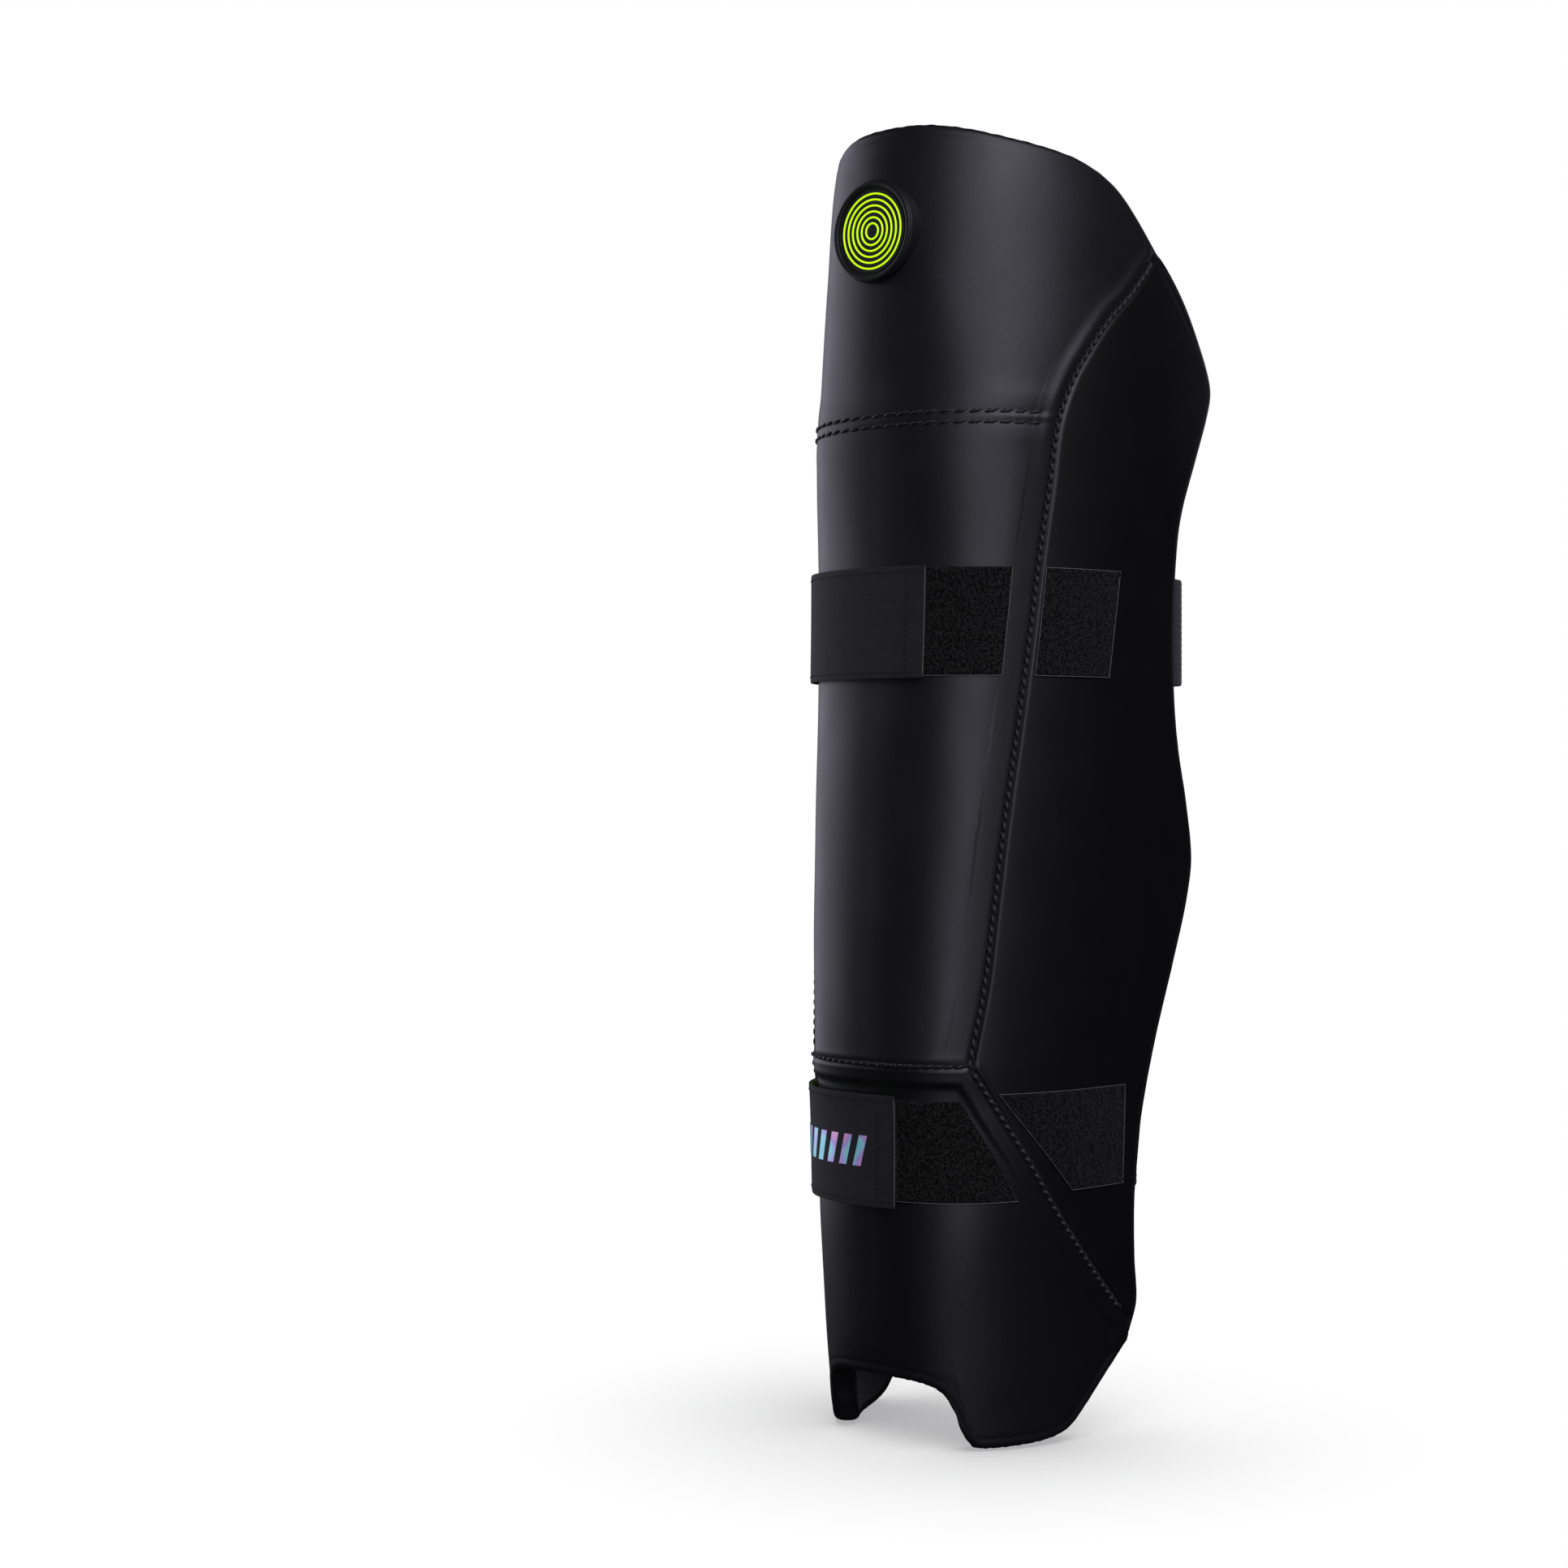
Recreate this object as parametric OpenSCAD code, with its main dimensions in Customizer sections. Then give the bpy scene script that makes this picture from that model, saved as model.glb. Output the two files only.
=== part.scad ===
// Wicket-keeping leg pad: covered foam panels round a knee and a shin shield, lined and
// bolstered inside, bound along every free edge, closed round the calf by two straps.
// Frame: +Z up, the front of the pad faces -Y, X = 0 is the middle of the front, Z = 0 is at
// the tips of the ankle horns. Surface positions are [u, z]: u runs round the pad from the
// middle of the front, in degrees of the section's sweep up to side_u, then 2 mm per unit
// straight back along the wing. z is the height.

/* [Outer shape] */
// Height of the top edge above the horn tips
pad_h = 604; // [600:1:608]
// Half width at the ankle
ankle_half_w = 65; // [62:1:67]
// Half width at the shin
shin_half_w = 74; // [72:1:76]
// Half width at the knee
knee_half_w = 78; // [76:1:80]
// Depth of the front ahead of the side line, at the ankle
ankle_depth = 110; // [106:1:113]
// Depth of the front ahead of the side line, at the knee
knee_depth = 104; // [101:1:107]
// How far the wings curl inward 60 mm behind the side line
wing_curl = 5; // [0:1:8]

/* [Layers] */
// Thickness of the outer covers
cover_t = 1.3; // [1:0.1:1.4]
// Thickness of the foam under the front covers
front_foam_t = 6.5; // [5:0.5:7]
// Thickness of the knee and shin shields
shield_t = 1.6; // [1.2:0.1:1.7]
// Thickness of the lining
lining_t = 1.2; // [0.8:0.1:1.4]
// Thickness of the inner bolsters at their middle
bolster_t = 13; // [8:1:15]
// Width of the edge binding on the surface
binding_w = 3; // [2:0.5:4]

/* [Seams and rows] */
// Height of the stitched row under the knee
knee_row_z = 467; // [465:1:469]
// Height of the stitched row over the ankle
ankle_row_z = 175; // [174:1:176]
// How proud the rolled seams stand of the covers
welt_h = 1.6; // [0.8:0.1:2]

/* [Straps] */
// Width of both straps
strap_w = 51; // [48:1:52]
// Thickness of the strap band
strap_t = 0.9; // [0.7:0.1:1]
// Height of the upper strap's lower edge
upper_strap_z = 350; // [350:1:351]
// Height of the lower strap's lower edge
lower_strap_z = 110; // [109:1:111]

/* [Badge] */
// Diameter of the knee badge
badge_d = 47; // [44:1:48]
// Height of the badge's middle
badge_z = 555; // [553:1:556]

/* [Hidden] */

side_u = 90;
mm_per_u = 2;
curl_y = 60;
gap = 0.5;
layer_gap = 0.8;
seam_gap = 0.4;
strap_gap = 0.35;

// Depths below the outer surface at which each layer starts
foam_d = cover_t + gap;
shield_d = foam_d + front_foam_t + layer_gap;
lining_d = shield_d + shield_t + layer_gap;
inner_d = lining_d + lining_t + gap;

// Section sizes against height, [z, value]
half_widths = [[0, ankle_half_w], [150, ankle_half_w + 4.5], [300, shin_half_w],
    [430, knee_half_w - 1], [500, knee_half_w], [560, knee_half_w - 2.5], [pad_h, knee_half_w - 7]];
depths = [[0, ankle_depth - 8.5], [35, ankle_depth - 4], [95, ankle_depth], [155, ankle_depth + 1],
    [177, ankle_depth + 4], [265, ankle_depth + 0.5], [345, knee_depth + 1.5], [415, knee_depth - 0.5],
    [463, knee_depth + 1.5], [490, knee_depth - 1], [535, knee_depth - 0.5], [575, knee_depth - 2],
    [pad_h, knee_depth - 6.5]];
// Roundness of the section, 2 is an ellipse
powers = [[0, 2.45], [420, 2.45], [480, 2.35], [545, 2.1], [pad_h, 2.1]];

// The pad's edges and seams on the +X side
top_edge = [[0, pad_h], [15, pad_h - 0.5], [30, pad_h - 3], [45, pad_h - 7], [58, pad_h - 10.5],
    [68, pad_h - 14], [76, pad_h - 19], [82, pad_h - 25], [87, pad_h - 33], [91.5, pad_h - 42],
    [96, pad_h - 51]];
instep_edge = [[0, 31.5], [8, 31], [16, 30], [23, 27.5], [27, 23.5], [30, 17], [32.5, 8], [36, 1.5],
    [40, 0], [54, 0.2], [64, 1.2], [70, 3.2], [74, 6.5], [79, 14.5], [84, 24], [88.5, 33.5], [92, 44]];
rear_edge = [[44, 92], [58, 94.8], [80, 93.6], [106, 93], [127, 93.9], [148, 95.3], [182, 100.4],
    [219, 108], [245, 113.2], [266, 115.3], [292, 112.2], [320, 107.4], [345, 105], [376, 104.2],
    [408, 104.8], [430, 107], [460, 114.3], [478, 119], [490, 121], [500, 119.6], [518, 113.5],
    [532, 108], [545, 101.3], [553, 96]];
wing_seam = [[175, 38], [210, 42.5], [245, 44.6], [295, 47.6], [328, 50], [371, 53.1], [412, 56.1],
    [440, 59], [467, 61.4], [486, 65], [500, 70], [516, 77], [530, 85], [553, 96]];
ankle_seam = [[38, 175], [46, 156], [57, 132], [68, 105], [78, 82], [85.5, 64], [92, 47]];
wing_top_z = pad_h - 54;
wing_low_z = 50;
corner_u = 38;
top_u = 96;

// Smooth curve through knots [x, value]: the slope at a knot is the slope between its neighbours
function slot_of(k, x, i = 0) = i >= len(k) - 2 || x < k[i + 1][0] ? i : slot_of(k, x, i + 1);
function slope(k, i) =
    let (a = max(i - 1, 0), b = min(i + 1, len(k) - 1))
    (k[b][1] - k[a][1]) / (k[b][0] - k[a][0]);
function curve(k, x) =
    let (i = slot_of(k, x), h = k[i + 1][0] - k[i][0], t = (x - k[i][0]) / h)
    (2 * t ^ 3 - 3 * t ^ 2 + 1) * k[i][1] + (t ^ 3 - 2 * t ^ 2 + t) * h * slope(k, i)
    + (3 * t ^ 2 - 2 * t ^ 3) * k[i + 1][1] + (t ^ 3 - t ^ 2) * h * slope(k, i + 1);

function rear_u(z) = curve(rear_edge, z);
function seam_u(z) = curve(wing_seam, z);
function top_z(u) = curve(top_edge, abs(u));
function instep_z(u) = curve(instep_edge, abs(u));
function ankle_top_z(u) = abs(u) < corner_u ? ankle_row_z : curve(ankle_seam, abs(u));
ankle_seam_by_z = [for (i = [len(ankle_seam) - 1:-1:0]) [ankle_seam[i][1], ankle_seam[i][0]]];
function ankle_seam_u(z) = curve(ankle_seam_by_z, z);
function wing_front_u(z) = z > ankle_row_z ? seam_u(z) : ankle_seam_u(z);

// Point at surface position [u, z], d below the outer surface
function on_pad(u, z, d) =
    let (
        w = curve(half_widths, z),
        r = curve(depths, z),
        p = curve(powers, z),
        a = abs(u),
        s = u < 0 ? -1 : 1,
        front = a < side_u,
        y = front ? -r * cos(a) ^ (2 / p) : mm_per_u * (a - side_u),
        x = front ? w * sin(a) ^ (2 / p) : w - wing_curl * (y / curl_y) ^ 2,
        gx = front ? (x / w) ^ (p - 1) / w : 1,
        gy = front ? -(-y / r) ^ (p - 1) / r : 2 * wing_curl * y / curl_y ^ 2,
        g = norm([gx, gy])
    )
    [s * (x - d * gx / g), y - d * gy / g, z];

// Closed solid between two grids of points with the same rows and columns
module between(outer, inner) {
    rows = len(outer);
    cols = len(outer[0]);
    flat = [for (g = [outer, inner]) for (row = g) for (p = row) p];
    function o(i, j) = j * cols + i;
    function n(i, j) = rows * cols + j * cols + i;
    skins = [for (j = [0:rows - 2]) for (i = [0:cols - 2]) each [
        [o(i, j), o(i, j + 1), o(i + 1, j + 1)],
        [o(i, j), o(i + 1, j + 1), o(i + 1, j)],
        [n(i, j), n(i + 1, j + 1), n(i, j + 1)],
        [n(i, j), n(i + 1, j), n(i + 1, j + 1)]]];
    low_high = [for (i = [0:cols - 2]) each [
        [o(i, 0), o(i + 1, 0), n(i + 1, 0)],
        [o(i, 0), n(i + 1, 0), n(i, 0)],
        [o(i + 1, rows - 1), o(i, rows - 1), n(i, rows - 1)],
        [o(i + 1, rows - 1), n(i, rows - 1), n(i + 1, rows - 1)]]];
    sides = [for (j = [0:rows - 2]) each [
        [o(0, j + 1), o(0, j), n(0, j)],
        [o(0, j + 1), n(0, j), n(0, j + 1)],
        [o(cols - 1, j), o(cols - 1, j + 1), n(cols - 1, j + 1)],
        [o(cols - 1, j), n(cols - 1, j + 1), n(cols - 1, j)]]];
    polyhedron(flat, concat(skins, low_high, sides), convexity = 8);
}

// Layer of even thickness over a grid of surface positions
module layer(grid, d, t) {
    between(
        [for (row = grid) [for (q = row) on_pad(q[0], q[1], d)]],
        [for (row = grid) [for (q = row) on_pad(q[0], q[1], d + t)]]);
}

// Cushion on the inside: edge_t thick at its rim and t thick at its middle
module cushion(grid, d, t, edge_t = 3) {
    rows = len(grid) - 1;
    cols = len(grid[0]) - 1;
    between(
        [for (row = grid) [for (q = row) on_pad(q[0], q[1], d)]],
        [for (j = [0:rows]) [for (i = [0:cols])
            on_pad(grid[j][i][0], grid[j][i][1],
                d + edge_t + (t - edge_t) * sqrt(sin(180 * i / cols) * sin(180 * j / rows)))]]);
}

// Grids of surface positions
function steps(a, b, n) = [for (i = [0:n]) a + (b - a) * i / n];
function box_grid(u0, u1, z0, z1, cols, rows) =
    [for (z = steps(z0, z1, rows)) [for (u = steps(u0, u1, cols)) [u, z]]];
function mirror_grid(grid) =
    [for (row = grid) [for (i = [len(row) - 1:-1:0]) [-row[i][0], row[i][1]]]];

// Knee panel: from the knee row up to the top edge, its sides following the wing seams
function knee_point(a, v, inset, z0) =
    let (
        top = [top_u * a, top_z(top_u * a) - inset],
        low = [seam_u(z0) * a, z0],
        side_z = z0 + (top_z(top_u) - inset - z0) * v,
        bulge = (seam_u(side_z) - seam_gap - seam_u(z0) - (top_u - seam_u(z0)) * v) * a * abs(a)
    )
    [low[0] + (top[0] - low[0]) * v + bulge, low[1] + (top[1] - low[1]) * v];
function knee_grid(inset, cols, rows) =
    [for (v = steps(0, 1, rows)) [for (a = steps(-1, 1, cols))
        knee_point(a, v, inset, knee_row_z + seam_gap)]];
// Shin panel: between the two stitched rows and the wing seams
function shin_grid(inset, cols, rows) =
    [for (z = steps(ankle_row_z + seam_gap + inset, knee_row_z - seam_gap - inset, rows))
        [for (a = steps(-1, 1, cols)) [a * (seam_u(z) - seam_gap - inset), z]]];
// Ankle panel: from the instep edge up to the ankle row and the ankle seams
instep_end_u = 90.8;
instep_side = concat([for (i = [1:len(instep_edge) - 2]) instep_edge[i][0]], [instep_end_u]);
instep_us = concat([for (i = [len(instep_side) - 1:-1:0]) -instep_side[i]], [0], instep_side);
function ankle_grid(inset, rows) =
    [for (v = steps(0, 1, rows)) [for (u = instep_us)
        [u, (instep_z(u) + inset) * (1 - v) + (ankle_top_z(u) - 2 * seam_gap) * v]]];
// Wing panel on the +X side: from the seams back to the rear edge
function wing_grid(inset, cols, rows) =
    [for (z = steps(wing_low_z, wing_top_z, rows))
        [for (t = steps(0, 1, cols))
            let (a = wing_front_u(z) + seam_gap, b = rear_u(z) - inset / mm_per_u) [a + (b - a) * t, z]]];
// The whole inside, rows spread between the instep edge and the top edge
lining_inset = binding_w + 1.5;
lining_low_u = 90;
lining_top_u = 94;
function lining_point(a, v) =
    let (
        low = [lining_low_u * a, instep_z(lining_low_u * a) + lining_inset],
        top = [lining_top_u * a, top_z(lining_top_u * a) - lining_inset],
        z0 = instep_z(lining_low_u) + lining_inset,
        side_z = z0 + (top_z(lining_top_u) - lining_inset - z0) * v,
        side_u = lining_low_u + (lining_top_u - lining_low_u) * v,
        bulge = (rear_u(side_z) - lining_inset / mm_per_u - side_u) * a * abs(a) ^ 3
    )
    [low[0] + (top[0] - low[0]) * v + bulge, low[1] + (top[1] - low[1]) * v];

binding_gap = binding_w + gap;
// Foam where no shield lies behind it
plain_foam_t = front_foam_t + layer_gap + shield_t;

module knee_cover() {
    color("#2b2c31") layer(knee_grid(binding_gap, 22, 6), 0, cover_t);
}

module shin_cover() {
    color("#2b2c31") layer(shin_grid(0, 16, 10), 0, cover_t);
}

module ankle_cover() {
    color("#26272b") layer(ankle_grid(binding_gap, 7), 0, cover_t);
}

module wing_cover_right() {
    color("#1c1d20") layer(wing_grid(binding_gap, 6, 24), 0, cover_t);
}

module wing_cover_left() {
    color("#1c1d20") layer(mirror_grid(wing_grid(binding_gap, 6, 24)), 0, cover_t);
}

module knee_foam() {
    color("dimgray") layer(knee_grid(binding_gap, 22, 6), foam_d, front_foam_t);
}

module shin_foam() {
    color("dimgray") layer(shin_grid(0, 16, 10), foam_d, front_foam_t);
}

module ankle_foam() {
    color("dimgray") layer(ankle_grid(binding_gap, 7), foam_d, plain_foam_t);
}

module wing_foam_right() {
    color("dimgray")
        layer(wing_grid(binding_gap, 6, 24), foam_d, plain_foam_t);
}

module wing_foam_left() {
    color("dimgray")
        layer(mirror_grid(wing_grid(binding_gap, 6, 24)), foam_d, plain_foam_t);
}

// Shields: how far they reach round the pad, and how far they stay from the stitched rows
knee_shield_u = 50;
shin_shield_u = 36;
shield_row_gap = 6;
shield_top_gap = 22;

module knee_shield() {
    color("whitesmoke")
        layer(box_grid(-knee_shield_u, knee_shield_u, knee_row_z + shield_row_gap, pad_h - shield_top_gap, 18, 5),
            shield_d, shield_t);
}

module shin_shield() {
    color("whitesmoke")
        layer(box_grid(-shin_shield_u, shin_shield_u, ankle_row_z + shield_row_gap, knee_row_z - shield_row_gap,
            12, 6), shield_d, shield_t);
}

module lining() {
    color("#202124")
        layer([for (v = steps(0, 1, 22)) [for (a = steps(-1, 1, 34)) lining_point(a, v)]],
            lining_d, lining_t);
}

// Bolsters: where each starts and ends round the pad and up it
knee_bolster_u = [38, 86];
knee_bolster_z = [knee_row_z + 8, pad_h - 62];
knee_roll_u = 34;
knee_roll_z = [knee_row_z - 42, knee_row_z - 8];
shin_bolster_u = [14, 62];
shin_bolster_z = [ankle_row_z + 20, knee_row_z - 50];

module bolster(u, z, cols, rows) {
    color("#242528") cushion(box_grid(u[0], u[1], z[0], z[1], cols, rows), inner_d, bolster_t);
}

module knee_bolster_right() {
    bolster(knee_bolster_u, knee_bolster_z, 8, 6);
}

module knee_bolster_left() {
    bolster([-knee_bolster_u[1], -knee_bolster_u[0]], knee_bolster_z, 8, 6);
}

module knee_roll() {
    bolster([-knee_roll_u, knee_roll_u], knee_roll_z, 10, 4);
}

module shin_bolster_right() {
    bolster(shin_bolster_u, shin_bolster_z, 8, 10);
}

module shin_bolster_left() {
    bolster([-shin_bolster_u[1], -shin_bolster_u[0]], shin_bolster_z, 8, 10);
}

binding_t = lining_d + lining_t;

module top_binding() {
    color("#151619")
        layer([for (w = [binding_w, 0]) [for (u = steps(-top_u, top_u, 32)) [u, top_z(u) - w]]], 0, binding_t);
}

module instep_binding() {
    color("#151619")
        layer([for (w = [0, binding_w]) [for (u = instep_us) [u, instep_z(u) + w]]], 0, binding_t);
}

function wing_binding_grid() =
    [for (z = steps(wing_low_z, wing_top_z, 24)) [for (w = [binding_w, 0]) [rear_u(z) - w / mm_per_u, z]]];

module wing_binding_right() {
    color("#151619") layer(wing_binding_grid(), 0, binding_t);
}

module wing_binding_left() {
    color("#151619") layer(mirror_grid(wing_binding_grid()), 0, binding_t);
}

// Rolled seams: a low bead standing on the front side of the seam
welt_w_u = 1.6;
function wing_welt_grid() =
    [for (z = steps(ankle_row_z + 4, wing_top_z - 8, 24))
        [for (s = [-3, -2, -1]) [seam_u(z) + s * welt_w_u, z]]];
function ankle_welt_grid() =
    [for (z = steps(wing_low_z + 12, ankle_row_z - 12, 10))
        [for (s = [-5, -3.5, -2]) [ankle_seam_u(z) + s * welt_w_u, z]]];
bead_edge_h = 0.3;
module bead(grid) {
    between(
        [for (row = grid) [for (i = [0:2]) on_pad(row[i][0], row[i][1], i == 1 ? -welt_h : -gap - bead_edge_h)]],
        [for (row = grid) [for (i = [0:2]) on_pad(row[i][0], row[i][1], -gap)]]);
}

module wing_welt_right() {
    color("#303136") bead(wing_welt_grid());
}

module wing_welt_left() {
    color("#303136") bead(mirror_grid(wing_welt_grid()));
}

module ankle_welt_right() {
    color("#303136") bead(ankle_welt_grid());
}

module ankle_welt_left() {
    color("#303136") bead(mirror_grid(ankle_welt_grid()));
}

// Loop tape sewn flat on the covers, 0.7 mm thick
loop_t = 0.7;
loop_d = -gap - loop_t;
upper_loop_z = upper_strap_z + 1;
upper_loop_h = strap_w - 2;
lower_loop_z = lower_strap_z + 3;
lower_loop_h = strap_w - 5;
lower_wing_loop_z = lower_loop_z + 3;
// Where the patches start and end round the pad, and how far the upper ones lean over their height
upper_front_loop_u = [-40, 43.5];
upper_front_lean = 2.6;
upper_wing_loop_u = [54.6, 79.8];
upper_wing_lean = 2.8;
lower_front_loop_u = -36;
lower_wing_loop_u = 88;
// The patches on the ankle stay this far before and behind its seam, the rear one less straight
before_seam_u = 10.5;
behind_seam_u = 4;
behind_seam_lean = 0.1;
behind_seam_z = 160;

module tape(grid) {
    color("#101010") layer(grid, loop_d, loop_t);
}

module upper_front_loop() {
    tape([for (v = steps(0, 1, 4))
        [for (u = steps(upper_front_loop_u[0], upper_front_loop_u[1] + upper_front_lean * v, 16))
            [u, upper_loop_z + v * upper_loop_h]]]);
}

module upper_wing_loop() {
    tape([for (v = steps(0, 1, 4)) [for (u = steps(upper_wing_loop_u[0], upper_wing_loop_u[1], 6))
        [u + upper_wing_lean * v, upper_loop_z + v * upper_loop_h]]]);
}

module lower_front_loop() {
    tape([for (z = steps(lower_loop_z, lower_loop_z + lower_loop_h, 5))
        [for (u = steps(lower_front_loop_u, ankle_seam_u(z) - before_seam_u, 16)) [u, z]]]);
}

module lower_wing_loop() {
    tape([for (z = steps(lower_wing_loop_z, lower_wing_loop_z + lower_loop_h, 5))
        let (first = ankle_seam_u(z) + behind_seam_u + behind_seam_lean * (behind_seam_z - z))
        [for (u = steps(first, lower_wing_loop_u, 6)) [u, z]]]);
}

// Moulded badge: a flat rubber disc on the middle of the knee
badge_y = -curve(depths, badge_z);
badge_t = 2.2;
rim_w = 2.5;
rim_h = 1.2;
badge_sink = 0.2;
module on_badge(h) {
    translate([0, badge_y - gap - badge_sink - h, badge_z]) rotate([90, 0, 0]) children();
}

module badge_base() {
    color("#0d0d0e") on_badge(0) cylinder(d = badge_d, h = badge_t, $fn = 64);
}

module badge_rim() {
    color("#17181a") on_badge(badge_t) difference() {
        cylinder(d = badge_d - 1, h = rim_h, $fn = 64);
        translate([0, 0, -1]) cylinder(d = badge_d - 1 - 2 * rim_w, h = rim_h + 2, $fn = 64);
    }
}

// Plain rings as the badge's ornament
module badge_motif() {
    line_w = 0.8;
    line_h = 0.5;
    first_d = 8;
    pitch_d = 5.4;
    last_d = 36;
    color("#b6f500") on_badge(badge_t) for (d = [first_d:pitch_d:last_d]) difference() {
        cylinder(d = d, h = line_h, $fn = 48);
        translate([0, 0, -1]) cylinder(d = d - 2 * line_w, h = line_h + 2, $fn = 48);
    }
}

// Straps. The band wraps the -X wing from outside and ends on the front; the elastic runs
// round the calf from the inside of the +X wing to the band's rear end.
band_gap_d = loop_d - strap_gap;
hook_t = 0.6;
backing_t = 0.4;
elastic_t = 1.2;
// How far back the wing reaches at a strap's two edges
function wing_back(z0) = mm_per_u * (max(rear_u(z0), rear_u(z0 + strap_w)) - side_u);
upper_rear_y = wing_back(upper_strap_z);
lower_rear_y = wing_back(lower_strap_z);
hinge_back = 4;
wrap_back = 1;

module wrap(z0, end_u, rear_y, d, t, start_u = undef) {
    first_u = is_undef(start_u) ? -(side_u + (rear_y + wrap_back) / mm_per_u) : start_u;
    layer([for (z = steps(z0, z0 + strap_w, 3))
        [for (u = concat([first_u], [for (k = [ceil(first_u / 5 + 0.2):floor(end_u / 5 - 0.2)]) 5 * k],
            [end_u])) [u, z]]], d, t);
}

// Half widths of the strap loop at its hinges, from the section at the strap's height
function anchor_x(z) = on_pad(side_u, z, inner_d + elastic_t / 2)[0];
function band_x(z) = -on_pad(-side_u, z, band_gap_d - hook_t - backing_t - strap_t / 2)[0];

module elastic(z0, rear_y, bow) {
    zm = z0 + strap_w / 2;
    y0 = rear_y + hinge_back;
    right = anchor_x(zm);
    left = band_x(zm);
    function oval(a, off) =
        let (c = cos(a), side = c > 0 ? right : left)
        [sign(c) * (side + off) * abs(c) ^ (2 / span_power), y0 + (bow + off) * sin(a) ^ (2 / span_power)];
    first = 0.5;
    last = 179.5;
    outer = [for (a = steps(first, last, 28)) oval(a, elastic_t / 2)];
    inner = [for (a = steps(last, first, 28)) oval(a, -elastic_t / 2)];
    translate([0, 0, z0]) linear_extrude(strap_w) polygon(concat(outer, inner));
}

anchor_u = 7;
module anchor(z0, rear_y) {
    layer(box_grid(side_u - anchor_u, side_u + rear_y / mm_per_u, z0, z0 + strap_w, 6, 3), inner_d, elastic_t);
}

upper_end_u = 17;
lower_end_u = 11;
hook_start_u = -15;
calf_bow = 46;
ankle_bow = 20;
span_power = 2.5;
ply_gap = 0.1;
hook_d = band_gap_d - hook_t;
backing_d = hook_d - backing_t - ply_gap;
band_d = backing_d - strap_t - ply_gap;

module upper_strap_anchor() {
    color("#222326") anchor(upper_strap_z, upper_rear_y);
}

module upper_strap_elastic() {
    color("#222326") elastic(upper_strap_z, upper_rear_y, calf_bow);
}

module upper_strap_band() {
    color("#222226") wrap(upper_strap_z, upper_end_u, upper_rear_y, band_d, strap_t);
}

module upper_strap_backing() {
    color("#b6f500") wrap(upper_strap_z, upper_end_u, upper_rear_y, backing_d, backing_t);
}

module upper_strap_hook() {
    color("#0c0c0c")
        wrap(upper_strap_z, upper_end_u, upper_rear_y, hook_d, hook_t, hook_start_u);
}

module lower_strap_anchor() {
    color("#222326") anchor(lower_strap_z, lower_rear_y);
}

module lower_strap_elastic() {
    color("#222326") elastic(lower_strap_z, lower_rear_y, ankle_bow);
}

module lower_strap_band() {
    color("#222226") wrap(lower_strap_z, lower_end_u, lower_rear_y, band_d, strap_t);
}

module lower_strap_backing() {
    color("#b6f500") wrap(lower_strap_z, lower_end_u, lower_rear_y, backing_d, backing_t);
}

module lower_strap_hook() {
    color("#0c0c0c")
        wrap(lower_strap_z, lower_end_u, lower_rear_y, hook_d, hook_t, hook_start_u);
}

// Slanting foil bars on the lower strap
print_t = 0.2;
bars = 7;
bar_pitch_u = 7;
bar_w_u = 3.2;
bar_lean_u = 2.4;
bar_z = lower_strap_z + 18;
bar_h = 14;
first_bar_u = -3;
module lower_strap_print() {
    color("#a9c8ff") for (k = [0:bars - 1])
        layer([for (v = [0, 1]) [for (s = [0, bar_w_u])
            [first_bar_u - bar_pitch_u * k + s + bar_lean_u * v, bar_z + bar_h * v]]],
            band_d - 2 * print_t, print_t);
}

knee_cover();
shin_cover();
ankle_cover();
wing_cover_left();
wing_cover_right();
knee_foam();
shin_foam();
ankle_foam();
wing_foam_left();
wing_foam_right();
knee_shield();
shin_shield();
lining();
knee_bolster_left();
knee_bolster_right();
knee_roll();
shin_bolster_left();
shin_bolster_right();
top_binding();
instep_binding();
wing_binding_left();
wing_binding_right();
wing_welt_left();
wing_welt_right();
ankle_welt_left();
ankle_welt_right();
upper_front_loop();
upper_wing_loop();
lower_front_loop();
lower_wing_loop();
badge_base();
badge_rim();
badge_motif();
upper_strap_anchor();
upper_strap_elastic();
upper_strap_band();
upper_strap_backing();
upper_strap_hook();
lower_strap_anchor();
lower_strap_elastic();
lower_strap_band();
lower_strap_backing();
lower_strap_hook();
lower_strap_print();
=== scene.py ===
"""A wicket-keeping leg pad: soft covered panels on the CAD frame, its stitching, patches and straps.

Lengths are in millimetres in the tables and in the surface functions, and in metres in the meshes.
A place on the pad's outer surface is (u, z): u runs round the pad from the middle of the front, in
degrees of the section's sweep up to SIDE_U, then 2 mm per unit straight back along a wing.
"""
import math

import bmesh
import bpy
import numpy as np
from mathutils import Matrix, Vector, kdtree


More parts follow.
